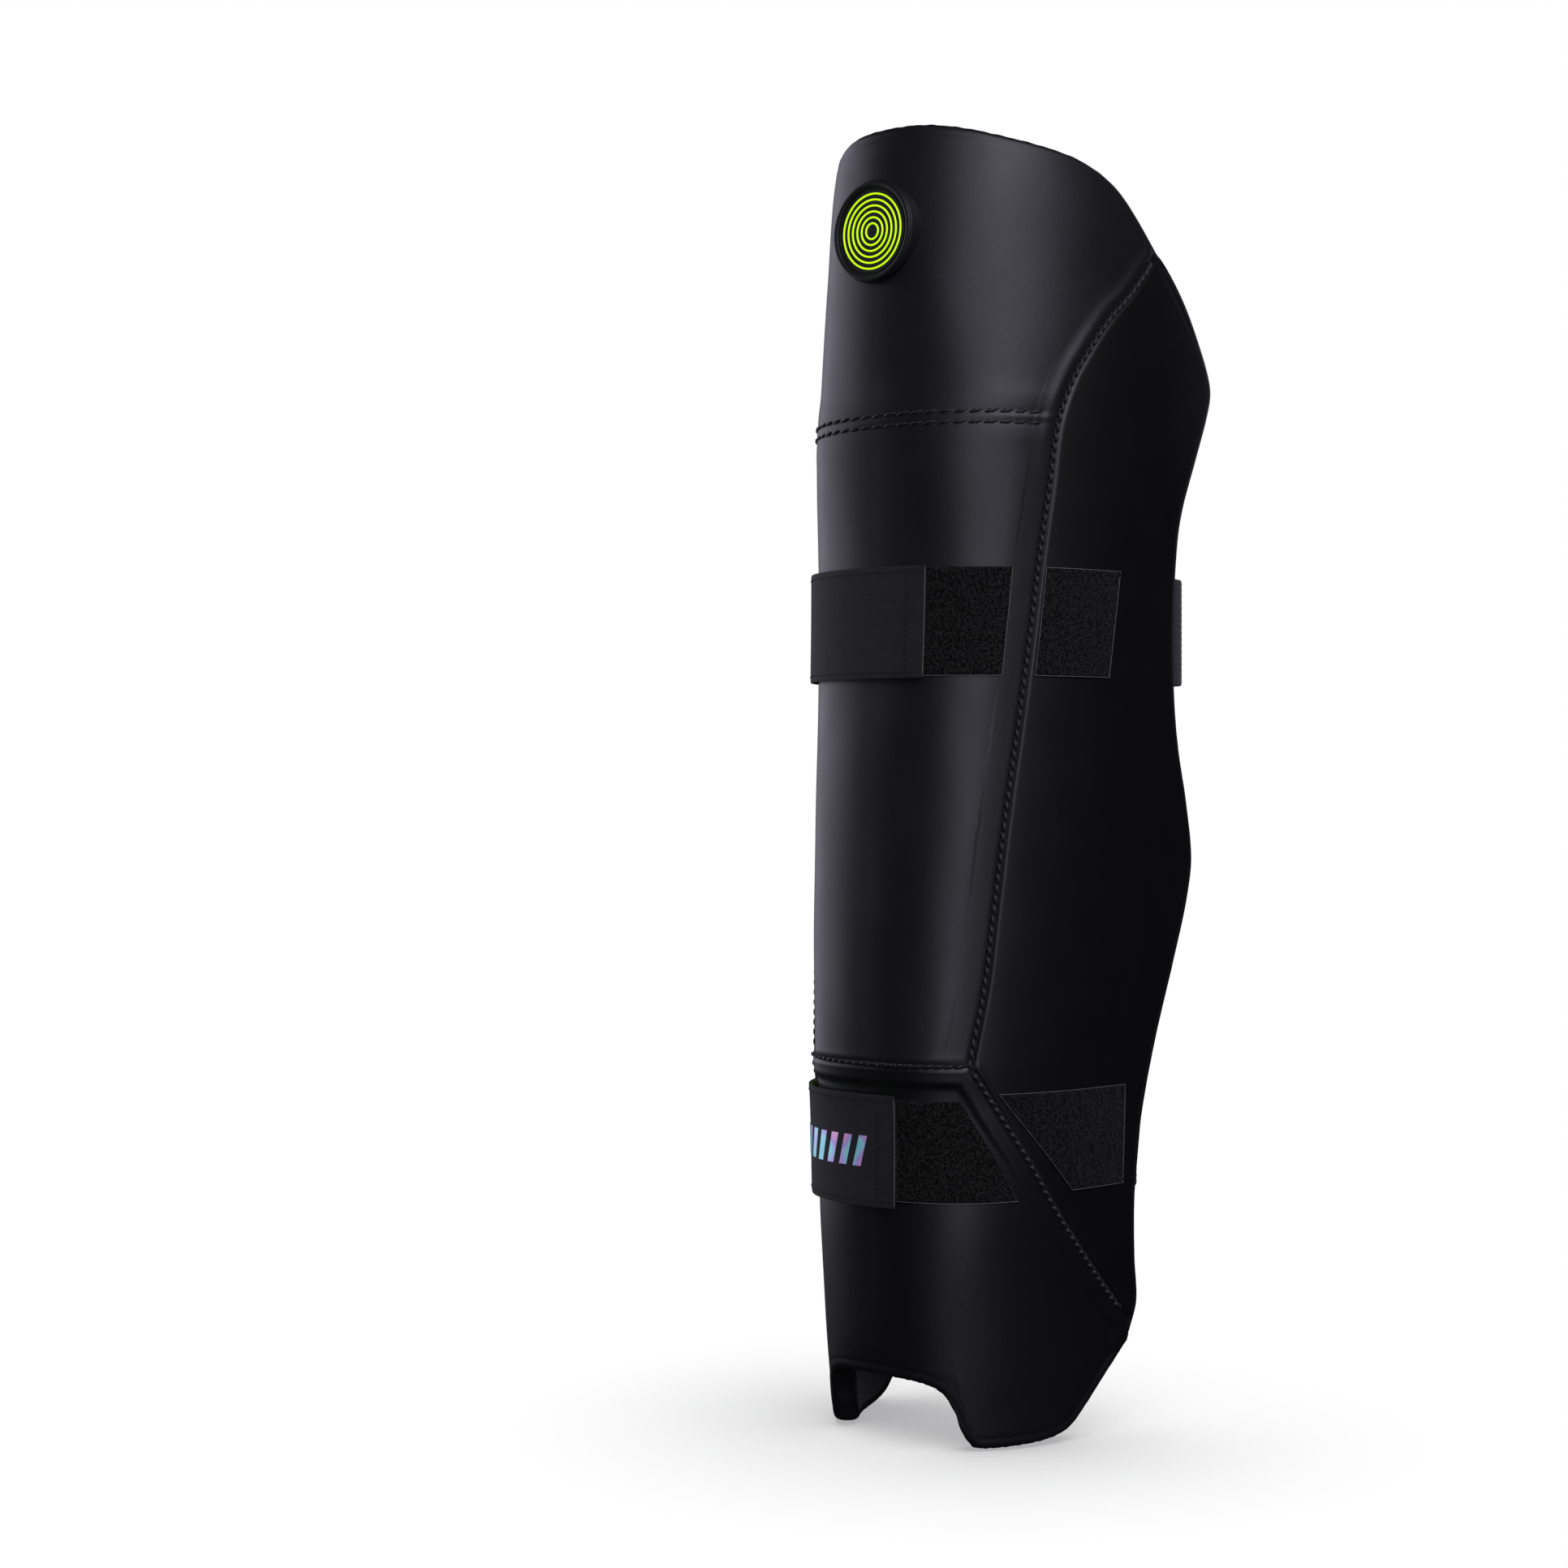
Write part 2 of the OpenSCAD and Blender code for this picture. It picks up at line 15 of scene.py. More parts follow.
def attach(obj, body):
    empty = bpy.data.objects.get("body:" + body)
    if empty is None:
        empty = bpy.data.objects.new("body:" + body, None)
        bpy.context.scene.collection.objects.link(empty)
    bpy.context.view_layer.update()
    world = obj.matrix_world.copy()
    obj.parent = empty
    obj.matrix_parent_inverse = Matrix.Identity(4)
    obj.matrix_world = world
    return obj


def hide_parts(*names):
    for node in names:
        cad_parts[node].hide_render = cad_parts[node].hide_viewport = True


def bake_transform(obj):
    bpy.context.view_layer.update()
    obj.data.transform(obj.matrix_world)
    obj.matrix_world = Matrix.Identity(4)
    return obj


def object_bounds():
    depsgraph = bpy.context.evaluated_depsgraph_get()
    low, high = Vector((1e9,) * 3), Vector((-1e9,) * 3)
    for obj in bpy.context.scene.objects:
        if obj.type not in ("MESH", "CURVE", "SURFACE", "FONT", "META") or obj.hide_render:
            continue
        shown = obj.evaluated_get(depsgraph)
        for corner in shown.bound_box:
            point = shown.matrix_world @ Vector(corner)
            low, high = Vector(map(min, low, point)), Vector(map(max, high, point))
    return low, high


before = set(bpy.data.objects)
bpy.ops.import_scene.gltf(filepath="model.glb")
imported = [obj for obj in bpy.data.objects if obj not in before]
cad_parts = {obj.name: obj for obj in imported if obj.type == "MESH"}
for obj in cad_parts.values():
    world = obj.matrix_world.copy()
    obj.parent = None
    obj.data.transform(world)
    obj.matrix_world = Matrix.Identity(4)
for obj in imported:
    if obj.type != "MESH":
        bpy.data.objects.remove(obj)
cad_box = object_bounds()
rng = np.random.default_rng(7)

# ------------------------ sizes, as the CAD part has them
MM = 0.001
PAD_H = 604.0
SIDE_U = 90.0
MM_PER_U = 2.0
CURL, CURL_Y = 5.0, 60.0
HALF_WIDTHS = [(0, 65), (150, 69.5), (300, 74), (430, 77), (500, 78), (560, 75.5), (PAD_H, 71)]
DEPTHS = [(0, 101.5), (35, 106), (95, 110), (155, 111), (177, 114), (265, 110.5), (345, 105.5),
          (415, 103.5), (463, 105.5), (490, 103), (535, 103.5), (575, 102), (PAD_H, 97.5)]
POWERS = [(0, 2.45), (420, 2.45), (480, 2.35), (545, 2.1), (PAD_H, 2.1)]
TOP_EDGE = [(0, 604), (15, 603.5), (30, 601), (45, 597), (58, 593.5), (68, 590), (76, 585),
            (82, 579), (87, 571), (91.5, 562), (96, 553)]
INSTEP_EDGE = [(0, 31.5), (8, 31), (16, 30), (23, 27.5), (27, 23.5), (30, 17), (32.5, 8), (36, 1.5),
               (40, 0), (54, 0.2), (64, 1.2), (70, 3.2), (74, 6.5), (79, 14.5), (84, 24),
               (88.5, 33.5), (92, 44)]
REAR_EDGE = [(44, 92), (58, 94.8), (80, 93.6), (106, 93), (127, 93.9), (148, 95.3), (182, 100.4),
             (219, 108), (245, 113.2), (266, 115.3), (292, 112.2), (320, 107.4), (345, 105),
             (376, 104.2), (408, 104.8), (430, 107), (460, 114.3), (478, 119), (490, 121),
             (500, 119.6), (518, 113.5), (532, 108), (545, 101.3), (553, 96)]
WING_SEAM = [(175, 38), (210, 42.5), (245, 44.6), (295, 47.6), (328, 50), (371, 53.1), (412, 56.1),
             (440, 59), (467, 61.4), (486, 65), (500, 70), (516, 77), (530, 85), (553, 96)]
ANKLE_SEAM = [(38, 175), (46, 156), (57, 132), (68, 105), (78, 82), (85.5, 64), (92, 47)]
KNEE_ROW_Z, ANKLE_ROW_Z = 467.0, 175.0
CORNER_U, TOP_U, ANKLE_SIDE_U = 38.0, 96.0, 90.8
WING_LOW_Z, WING_TOP_Z = 50.0, 550.0
COVER_T, FOAM_D, FOAM_T, PLAIN_FOAM_T = 1.3, 1.8, 6.5, 8.9
LINING_D, LINING_T, INNER_D = 11.5, 1.2, 13.2
RIM_T = LINING_D + LINING_T
BINDING_W = 3.0
BOLSTER_T = 13.0
STRAP_W = 51.0


# ------------------------ the surface
def curve(knots, x):
    """Smooth curve through knots: the slope at a knot is the slope between its neighbours."""
    kx, kv = np.array(knots, float).T
    slope = np.empty_like(kv)
    slope[1:-1] = (kv[2:] - kv[:-2]) / (kx[2:] - kx[:-2])
    slope[0] = (kv[1] - kv[0]) / (kx[1] - kx[0])
    slope[-1] = (kv[-1] - kv[-2]) / (kx[-1] - kx[-2])
    x = np.asarray(x, float)
    i = np.clip(np.searchsorted(kx, x, side="right") - 1, 0, len(kx) - 2)
    h = kx[i + 1] - kx[i]
    t = (x - kx[i]) / h
    return ((2 * t**3 - 3 * t**2 + 1) * kv[i] + (t**3 - 2 * t**2 + t) * h * slope[i]
            + (3 * t**2 - 2 * t**3) * kv[i + 1] + (t**3 - t**2) * h * slope[i + 1])


def rear_u(z):
    return curve(REAR_EDGE, z)


def seam_u(z):
    return curve(WING_SEAM, z)


def top_z(u):
    return curve(TOP_EDGE, np.abs(u))


def instep_z(u):
    return curve(INSTEP_EDGE, np.abs(u))


def ankle_seam_u(z):
    return curve([(b, a) for a, b in reversed(ANKLE_SEAM)], z)


def ankle_top_z(u):
    a = np.abs(u)
    return np.where(a < CORNER_U, ANKLE_ROW_Z, curve(ANKLE_SEAM, a))


def wing_front_u(z):
    return np.where(np.asarray(z) > ANKLE_ROW_Z, seam_u(z), ankle_seam_u(z))


def on_pad(u, z, d):
    """Points in metres at (u, z), d mm below the outer surface."""
    u, z, d = np.broadcast_arrays(np.asarray(u, float), np.asarray(z, float), np.asarray(d, float))
    w, r, p = curve(HALF_WIDTHS, z), curve(DEPTHS, z), curve(POWERS, z)
    a = np.abs(u)
    front = a < SIDE_U
    t = np.radians(np.where(front, a, 0))
    s, c = np.sin(t), np.cos(t)
    y = np.where(front, -r * c ** (2 / p), MM_PER_U * (a - SIDE_U))
    x = np.where(front, w * s ** (2 / p), w - CURL * (y / CURL_Y) ** 2)
    gx = np.where(front, (x / w) ** (p - 1) / w, 1.0)
    gy = np.where(front, -(np.maximum(-y, 0) / r) ** (p - 1) / r, 2 * CURL * y / CURL_Y**2)
    g = np.hypot(gx, gy)
    side = np.where(u < 0, -1.0, 1.0)
    return np.stack([side * (x - d * gx / g), y - d * gy / g, z], -1) * MM


def wave(u, z, cell, amount, phase):
    """A slow uneven swell over the surface, as soft foam has: mm outward."""
    a, b = u * MM_PER_U / cell, z / cell
    return amount * (np.sin(a * 2.1 + phase + 1.3 * np.sin(b * 1.7)) * np.sin(b * 2.3 + 0.7 * phase)
                     + 0.5 * np.sin(a * 4.7 + 2.1 * phase) * np.sin(b * 3.9 + 1.1 * np.sin(a)))


def hump(x, width):
    return np.exp(-((x / width) ** 2))


def steps(a, b, n, crowd=0.0):
    """n + 1 values from a to b, crowded towards both ends by up to 1."""
    t = np.linspace(0, 1, n + 1)
    t = t - crowd * np.sin(2 * np.pi * t) / (2 * np.pi)
    return a + (b - a) * t


def run_along(points):
    """Each point's distance along a line of points from its start."""
    return np.concatenate([[0], np.cumsum(np.linalg.norm(np.diff(points, axis=0), axis=1))])


def from_ends(n):
    """Each place's count from the nearer end of a row of n."""
    return np.minimum(np.arange(n), np.arange(n)[::-1])


# ------------------------ meshes
def linked(name, data):
    obj = bpy.data.objects.new(name, data)
    bpy.context.scene.collection.objects.link(obj)
    return obj


def plain(faces):
    return faces if isinstance(faces, list) else faces.tolist()


def face_outward(mesh):
    """Turns every closed solid's faces to the outside."""
    made = bmesh.new()
    made.from_mesh(mesh)
    bmesh.ops.recalc_face_normals(made, faces=made.faces)
    made.to_mesh(mesh)
    made.free()


def put(name, verts, faces, material, smooth_deg=40, uv=None):
    mesh = bpy.data.meshes.new(name)
    mesh.from_pydata(np.asarray(verts, float).reshape(-1, 3).tolist(), [], plain(faces))
    mesh.validate()
    face_outward(mesh)
    mesh.shade_smooth()
    mesh.set_sharp_from_angle(angle=math.radians(smooth_deg))
    if uv is not None:
        layer = mesh.uv_layers.new(name="UVMap")
        index = np.empty(len(mesh.loops), dtype=np.int32)
        mesh.loops.foreach_get("vertex_index", index)
        layer.data.foreach_set("uv", np.asarray(uv, np.float32)[index].ravel())
    mesh.materials.append(material)
    return linked(name, mesh)


def shell_faces(rows, cols):
    """Quads of a closed solid made of an outer grid, then an inner grid of the same size."""
    n = rows * cols
    g = np.arange(n).reshape(rows, cols)
    a, b, c, d = g[:-1, :-1], g[:-1, 1:], g[1:, 1:], g[1:, :-1]
    outer = np.stack([a, b, c, d], -1).reshape(-1, 4)
    inner = np.stack([a, d, c, b], -1).reshape(-1, 4) + n
    low, high = (g[0, 1:], g[0, :-1]), (g[-1, :-1], g[-1, 1:])
    left, right = (g[:-1, 0], g[1:, 0]), (g[1:, -1], g[:-1, -1])
    walls = [np.stack([a, b, b + n, a + n], -1) for a, b in (low, high, left, right)]
    return np.concatenate([outer, inner, *walls])


def solid(outer, inner):
    """The closed solid between two grids of points, as (verts, faces)."""
    verts = np.concatenate([outer.reshape(-1, 3), inner.reshape(-1, 3)])
    return verts, shell_faces(*outer.shape[:2])


def shell(name, outer, inner, material, uv=None, **more):
    if uv is not None:
        uv = np.concatenate([uv.reshape(-1, 2)] * 2)
    return put(name, *solid(outer, inner), material, uv=uv, **more)


def layer(name, u, z, d0, d1, material, **more):
    """A shell over a grid of (u, z), from depth d0 to depth d1, each one number or a grid."""
    return shell(name, on_pad(u, z, d0), on_pad(u, z, d1), material, **more)


def joined(name, parts, material, **more):
    """One mesh from many (verts, faces)."""
    verts, faces, n = [], [], 0
    for v, f in parts:
        verts.append(np.asarray(v, float).reshape(-1, 3))
        faces.extend([i + n for i in face] for face in plain(f))
        n += len(verts[-1])
    return put(name, np.concatenate(verts), faces, material, **more)


# ------------------------ materials
def material(name, base, rough, spec=0.5, metallic=0.0, sheen=(0.0, 0.5), coat=(0.0, 0.3)):
    """A Principled material, its node tree and its shader. sheen and coat are (weight, roughness)."""
    mat = bpy.data.materials.new(name)
    mat.use_nodes = True
    shader = mat.node_tree.nodes["Principled BSDF"]
    values = {"Base Color": (*base, 1), "Roughness": rough, "Specular IOR Level": spec,
              "Metallic": metallic, "Sheen Weight": sheen[0], "Sheen Roughness": sheen[1],
              "Coat Weight": coat[0], "Coat Roughness": coat[1]}
    for socket, value in values.items():
        shader.inputs[socket].default_value = value
    return mat, mat.node_tree, shader


def node(tree, kind, **values):
    made = tree.nodes.new(kind)
    for key, value in values.items():
        if key in made.inputs:
            made.inputs[key].default_value = value
        else:
            setattr(made, key, value)
    return made


def coords(tree, kind="Object"):
    """Texture coordinates in metres, from one node in each tree."""
    made = tree.nodes.get("Texture Coordinate") or tree.nodes.new("ShaderNodeTexCoord")
    return made.outputs[kind]


def noise(tree, scale, detail=3.0, rough=0.5):
    tex = node(tree, "ShaderNodeTexNoise", Scale=scale, Detail=detail, Roughness=rough)
    tree.links.new(coords(tree), tex.inputs["Vector"])
    return tex.outputs["Fac"]


def ramp(tree, fac, stops):
    made = tree.nodes.new("ShaderNodeValToRGB")
    elements = made.color_ramp.elements
    while len(elements) < len(stops):
        elements.new(0.5)
    for element, (at, colour) in zip(elements, stops):
        element.position = at
        element.color = (*colour, 1)
    tree.links.new(fac, made.inputs["Fac"])
    return made.outputs["Color"]


def spread(tree, fac, low, high):
    made = node(tree, "ShaderNodeMapRange", **{"To Min": low, "To Max": high})
    tree.links.new(fac, made.inputs["Value"])
    return made.outputs["Result"]


def bump(tree, shader, heights):
    """A chain of bumps from (height, strength, distance in mm)."""
    last = None
    for height, strength, distance in heights:
        made = node(tree, "ShaderNodeBump", Strength=strength, Distance=distance * MM)
        tree.links.new(height, made.inputs["Height"])
        if last is not None:
            tree.links.new(last, made.inputs["Normal"])
        last = made.outputs["Normal"]
    tree.links.new(last, shader.inputs["Normal"])


def tint(tree, shader, fac, base, low, high, at=(0.3, 0.7)):
    """Colours the surface from low to high times the base colour as fac goes between two values."""
    stops = [(place, tuple(c * share for c in base)) for place, share in zip(at, (low, high))]
    tree.links.new(ramp(tree, fac, stops), shader.inputs["Base Color"])


def leather(name, base, rough):
    """Smooth coated leather: fine pebble grain, soft cloudy tone and patchy polish."""
    mat, tree, shader = material(name, base, rough, coat=(0.12, 0.35))
    cells = node(tree, "ShaderNodeTexVoronoi", Scale=1500.0)
    tree.links.new(coords(tree), cells.inputs["Vector"])
    tint(tree, shader, noise(tree, 22.0, 4.0), base, 0.84, 1.16)
    polish = noise(tree, 60.0, 5.0, 0.6)
    tree.links.new(spread(tree, polish, rough - 0.05, rough + 0.06), shader.inputs["Roughness"])
    bump(tree, shader, [(cells.outputs["Distance"], 0.16, 0.12),
                        (noise(tree, 420.0, 4.0, 0.6), 0.12, 0.15),
                        (noise(tree, 55.0, 2.0), 0.08, 0.6)])
    return mat


WAVE_LENGTH = 0.314  # one wave's length in a wave texture at scale 1


def cloth(name, base, rough, weave_mm, sheen=0.15, depth=0.2, over="UV", ways=("X", "Y")):
    """Woven or knitted cloth: crossed threads along two ways of coordinates in metres, with lint."""
    mat, tree, shader = material(name, base, rough, spec=0.3, sheen=(sheen, 0.6))
    crossed = []
    for way in ways:
        band = node(tree, "ShaderNodeTexWave", bands_direction=way, Distortion=0.6, Detail=1.0)
        band.inputs["Scale"].default_value = WAVE_LENGTH / (weave_mm * MM)
        tree.links.new(coords(tree, over), band.inputs["Vector"])
        crossed.append(band.outputs["Fac"])
    cross = node(tree, "ShaderNodeMath", operation="MULTIPLY")
    for socket in (0, 1):
        tree.links.new(crossed[socket], cross.inputs[socket])
    lint = noise(tree, 160.0, 5.0, 0.7)
    tint(tree, shader, lint, base, 0.7, 1.3, at=(0.25, 0.75))
    bump(tree, shader, [(cross.outputs[0], 0.5, depth), (lint, 0.15, 0.2)])
    return mat


def pile(name, base):
    """Loop tape: a napped mat of tiny loops, mottled where the nap lies over."""
    mat, tree, shader = material(name, base, 0.95, spec=0.12, sheen=(0.08, 0.4))
    tufts = noise(tree, 1500.0, 4.0, 0.7)
    patches = noise(tree, 980.0, 3.0, 0.65)
    tint(tree, shader, patches, base, 0.12, 2.6, at=(0.42, 0.63))
    bump(tree, shader, [(tufts, 0.8, 0.4), (patches, 0.8, 0.6)])
    return mat


def rubber(name, base, rough, painted_glow=0.0):
    """Moulded rubber, foam or plastic with a fine even grain. Any emission strength given is painted light:
    the surface glows in its own colour though it is no lamp.
    """
    mat, tree, shader = material(name, base, rough, spec=0.45)
    shader.inputs["Emission Color"].default_value = (*base, 1)
    shader.inputs["Emission Strength"].default_value = painted_glow
    tint(tree, shader, noise(tree, 90.0, 4.0), base, 0.88, 1.12)
    bump(tree, shader, [(noise(tree, 900.0, 3.0, 0.6), 0.18, 0.08)])
    return mat


def foil(name):
    """Iridescent heat-pressed foil: the colour drifts with the place, not with the view. It also glows
    faintly in that colour, which is painted light.
    """
    mat, tree, shader = material(name, (0.5, 0.6, 0.95), 0.28, metallic=0.55, coat=(0.4, 0.1))
    drift = noise(tree, 46.0, 1.5, 0.4)
    colour = ramp(tree, drift, [(0.30, (0.10, 0.62, 0.95)), (0.42, (0.35, 0.85, 0.95)),
                                (0.50, (0.55, 0.40, 0.95)), (0.58, (0.95, 0.45, 0.85)),
                                (0.70, (0.85, 0.90, 1.0))])
    tree.links.new(colour, shader.inputs["Base Color"])
    # Painted light: the drifting colour also feeds a faint glow.
    tree.links.new(colour, shader.inputs["Emission Color"])
    shader.inputs["Emission Strength"].default_value = 0.25
    bump(tree, shader, [(noise(tree, 1200.0, 2.0), 0.1, 0.05)])
    return mat


def thread(name, base, rough=0.6, spec=0.35):
    """Twisted sewing thread."""
    mat, tree, shader = material(name, base, rough, spec=spec, sheen=(0.1, 0.5))
    tint(tree, shader, noise(tree, 1500.0, 2.0), base, 0.75, 1.25)
    bump(tree, shader, [(noise(tree, 2600.0, 2.0), 0.4, 0.1)])
    return mat


FRONT = leather("front_leather", (0.0115, 0.0113, 0.0135), 0.44)
# The ankle and wing leathers are the front leather with painted shade: darker base colours for the panels
# that face away from the lamps.
ANKLE_SHADED_LEATHER = leather("ankle_leather_painted_shade", (0.0065, 0.0064, 0.0077), 0.43)
WING_SHADED_LEATHER = leather("wing_leather_painted_shade", (0.0038, 0.0037, 0.0043), 0.46)
EDGE = leather("edge_leather", (0.0108, 0.0106, 0.0126), 0.45)
STRAP = cloth("strap_cloth", (0.0145, 0.0148, 0.0175), 0.74, 0.55, sheen=0.12)
ELASTIC = cloth("ribbed_elastic", (0.0065, 0.0065, 0.0075), 0.8, 1.6, depth=0.45)
LIME_CLOTH = cloth("lime_knit", (0.42, 0.80, 0.0), 0.8, 0.6)
LINING = cloth("lining_mesh", (0.022, 0.022, 0.025), 0.8, 1.4, depth=0.4)
BOLSTER = cloth("bolster_knit", (0.032, 0.032, 0.037), 0.85, 1.2, sheen=0.2, depth=0.3,
                over="Object", ways=("DIAGONAL", "Z"))
LOOP = pile("loop_pile", (0.0125, 0.0125, 0.0112))
HOOK = pile("hook_pile", (0.012, 0.012, 0.0125))
SELVAGE = thread("selvage_thread", (0.2, 0.2, 0.2))
STITCH = thread("black_thread", (0.012, 0.012, 0.0135), 0.46, 0.55)
STRAP_STITCH = thread("strap_thread", (0.003, 0.003, 0.0035), 0.7, 0.2)
RUBBER = rubber("badge_rubber", (0.0105, 0.0105, 0.0125), 0.5)
# The lime rings glow with painted light, on top of what the lamps give them.
LIME_RUBBER = rubber("lime_rubber_painted_glow", (0.60, 1.0, 0.0), 0.45, painted_glow=0.85)
FOAM = rubber("foam", (0.16, 0.16, 0.17), 0.9)
SHIELD = rubber("shield_sheet", (0.72, 0.72, 0.70), 0.4)
FOIL = foil("foil")


# ------------------------ places and relief on the surface
def unit(v):
    return v / np.linalg.norm(v, axis=-1, keepdims=True)


def outward(u, z):
    return unit(on_pad(u, z, -1.0) - on_pad(u, z, 0.0))


def mm_per_unit(u, z):
    """Length along the surface of one unit of u."""
    step = 0.1
    return np.linalg.norm(on_pad(u + step, z, 0) - on_pad(u - step, z, 0), axis=-1) / (2 * step * MM)


def soft_step(x, a, b):
    t = np.clip((x - a) / (b - a), 0, 1)
    return t * t * (3 - 2 * t)


def behind(u, z, line):
    """Distance in mm behind the line u = line(z), across the line: negative in front of it."""
    scale = mm_per_unit(u, z)
    slope = scale * (line(z + 0.5) - line(z - 0.5))
    return scale * (np.abs(u) - line(z)) / np.hypot(1, slope)


def above(u, z, line):
    """Distance in mm above the line z = line(u), across the line."""
    a = np.maximum(np.abs(u), 0.5)
    slope = (line(a + 0.5) - line(a - 0.5)) / mm_per_unit(a, z)
    return (z - line(a)) / np.hypot(1, slope)


def wing_seam_gap(u, z):
    return behind(u, np.clip(z, ANKLE_ROW_Z + 1, WING_TOP_Z + 2), seam_u)


def ankle_seam_gap(u, z):
    return behind(u, np.clip(z, WING_LOW_Z - 2, ANKLE_ROW_Z - 1), ankle_seam_u)


KNEE_ROWS = (470.3, 465.3)
KNEE_PADS = ((467.8, 0.25, 1.7), (477, 0.25, 5.5), (459, 0.2, 5.5))  # (z, rise, half width) by the rows
KNEE_ROW_END = 4.0
KNEE_PITCH, ROPE_PITCH = 7.0, 4.7  # from stitch to stitch
FLANGE_W = 8.5
RIM_W = 5.0


def edge_gap(u, z):
    """Distance in mm to the nearest free edge of the pad."""
    side = (rear_u(np.clip(z, WING_LOW_Z, WING_TOP_Z)) - np.abs(u)) * MM_PER_U
    low = above(u, z, instep_z)
    top = -above(u, z, top_z)
    return np.minimum(np.minimum(np.abs(side), np.abs(low)), np.abs(top))


def knee_row_relief(u, z, s):
    along = u * mm_per_unit(u, z)
    rows = 0.0
    for row in KNEE_ROWS:
        pucker = 1 + 0.45 * np.sin(2 * np.pi * along / KNEE_PITCH + row)
        rows = rows - 0.13 * pucker * hump(z - row, 1.5)
    pads = sum(rise * hump(z - at, half) for at, rise, half in KNEE_PADS)
    return (rows + pads) * soft_step(-s, KNEE_ROW_END - 2, KNEE_ROW_END + 3)


def wing_seam_relief(z, s):
    """A fall to the seam and its groove, with a soft roll in front of it near the top."""
    high = soft_step(z, 430, 500)
    roll = 0.95 * high * hump(s + 5.0, 3.4)
    fall = -1.15 * (1 - 0.8 * high) * soft_step(s, -19, 1) * (1 - soft_step(s, 0, 3.0))
    groove = -0.55 * hump(s, np.where(s < 0, 1.6, 2.4))
    turned = 0.05 * hump(s - 3.2, 1.0)
    return roll + fall + groove + turned


def ankle_relief(s):
    """The ankle panel in front of its seam: a flat flange, then a soft step down to the panel."""
    flange = 0.35 - 1.35 * soft_step(-s, FLANGE_W - 1.5, FLANGE_W + 2.5)
    return flange - 1.0 * hump(s, 1.5) + 0.15 * hump(s + 2.6, 1.0) + 0.7 * soft_step(-s, 11, 26)


def relief(u, z):
    """Height in mm of the sewn covers over the plain surface."""
    u, z = np.broadcast_arrays(np.asarray(u, float), np.asarray(z, float))
    s, a, r = wing_seam_gap(u, z), ankle_seam_gap(u, z), z - ANKLE_ROW_Z
    on_ankle = (r < 0) & (a < 0)
    upper = wing_seam_relief(z, s) * soft_step(z, ANKLE_ROW_Z - 3, ANKLE_ROW_Z + 3)
    upper = upper + knee_row_relief(u, z, s)
    upper = upper + np.where(s < 0, -0.5 * hump(r, 1.4) + 0.15 * hump(r - 3.2, 1.4), 0)
    lower = np.where(a < 0, 0, -0.75 * hump(a, 1.5) + 0.4 * hump(a - 3.0, 1.1))
    height = np.where(on_ankle, ankle_relief(np.maximum(r, a)), np.where(r > 0, upper, lower))
    edge = edge_gap(u, z)
    soft = np.where(on_ankle | (s < -12), 1.0, 0.6) * wave(u, z, cell=58, amount=0.32, phase=0.9)
    soft = soft * soft_step(edge, RIM_W - 1, RIM_W + 14)
    return height + soft - 0.22 * (1 - soft_step(edge, RIM_W - 0.8, RIM_W + 2.6))


# ------------------------ threads and tapes
RING_T = np.array([0.0, 0.12, 0.35, 0.65, 0.88, 1.0])
RING_R = np.array([0.35, 0.85, 1.0, 1.0, 0.85, 0.35])
RING_LIFT = np.array([-0.9, 0.1, 0.75, 0.75, 0.1, -0.9])


def rounds(a, b, sides):
    """Unit circles, one in the plane of each pair of directions a and b."""
    turn = 2 * np.pi * np.arange(sides) / sides
    return a[:, None] * np.cos(turn)[:, None] + b[:, None] * np.sin(turn)[:, None]


def threads(a, b, out, radius):
    """Bent six-sided capsules from points a to points b that stand up along out, as (verts, faces)."""
    n, rings, sides = len(a), len(RING_T), 6
    along = unit(b - a)
    across = unit(np.cross(out, along))
    up = np.cross(along, across)
    ring = rounds(across, up, sides)
    centre = a[:, None] + (b - a)[:, None] * RING_T[None, :, None]
    centre = centre + out[:, None] * (RING_LIFT * radius)[None, :, None]
    verts = centre[:, :, None] + ring[:, None] * (RING_R * radius)[None, :, None, None]
    g = np.arange(n * rings * sides).reshape(n, rings, sides)
    nxt = np.roll(g, -1, 2)
    sheath = np.stack([g[:, :-1], nxt[:, :-1], nxt[:, 1:], g[:, 1:]], -1).reshape(-1, 4)
    caps = [g[:, 0, [3, 2, 1, 0]], g[:, 0, [5, 4, 3, 0]], g[:, -1, :4], g[:, -1, [0, 3, 4, 5]]]
    return verts.reshape(-1, 3), np.concatenate([sheath, *caps])


def along_path(path, period, height):
    """Evenly spaced places on a path of (u, z): points at a height over the covers, tangents, normals."""
    path = np.asarray(path, float)
    run = run_along(on_pad(path[:, 0], path[:, 1], 0)) / MM
    at = np.arange(period / 2, run[-1] - period / 4, period)

    def place(there):
        return np.interp(there, run, path[:, 0]), np.interp(there, run, path[:, 1])

    u, z = place(at)
    tangent = unit(on_pad(*place(at + 0.5), 0) - on_pad(*place(at - 0.5), 0))
    return on_pad(u, z, -relief(u, z) - height), tangent, outward(u, z)


def row_of(path, period, length, slant, radius, height):
    """Stitches along a path, each turned by slant degrees from it."""
    p, t, n = along_path(path, period, height)
    side = np.cross(n, t)
    lean = math.radians(slant)
    jitter = rng.normal(0, 0.04, (len(p), 1))
    reach = (t * math.cos(lean) + side * (math.sin(lean) + jitter)) * length * MM / 2
    return threads(p - reach, p + reach, n, radius * MM)


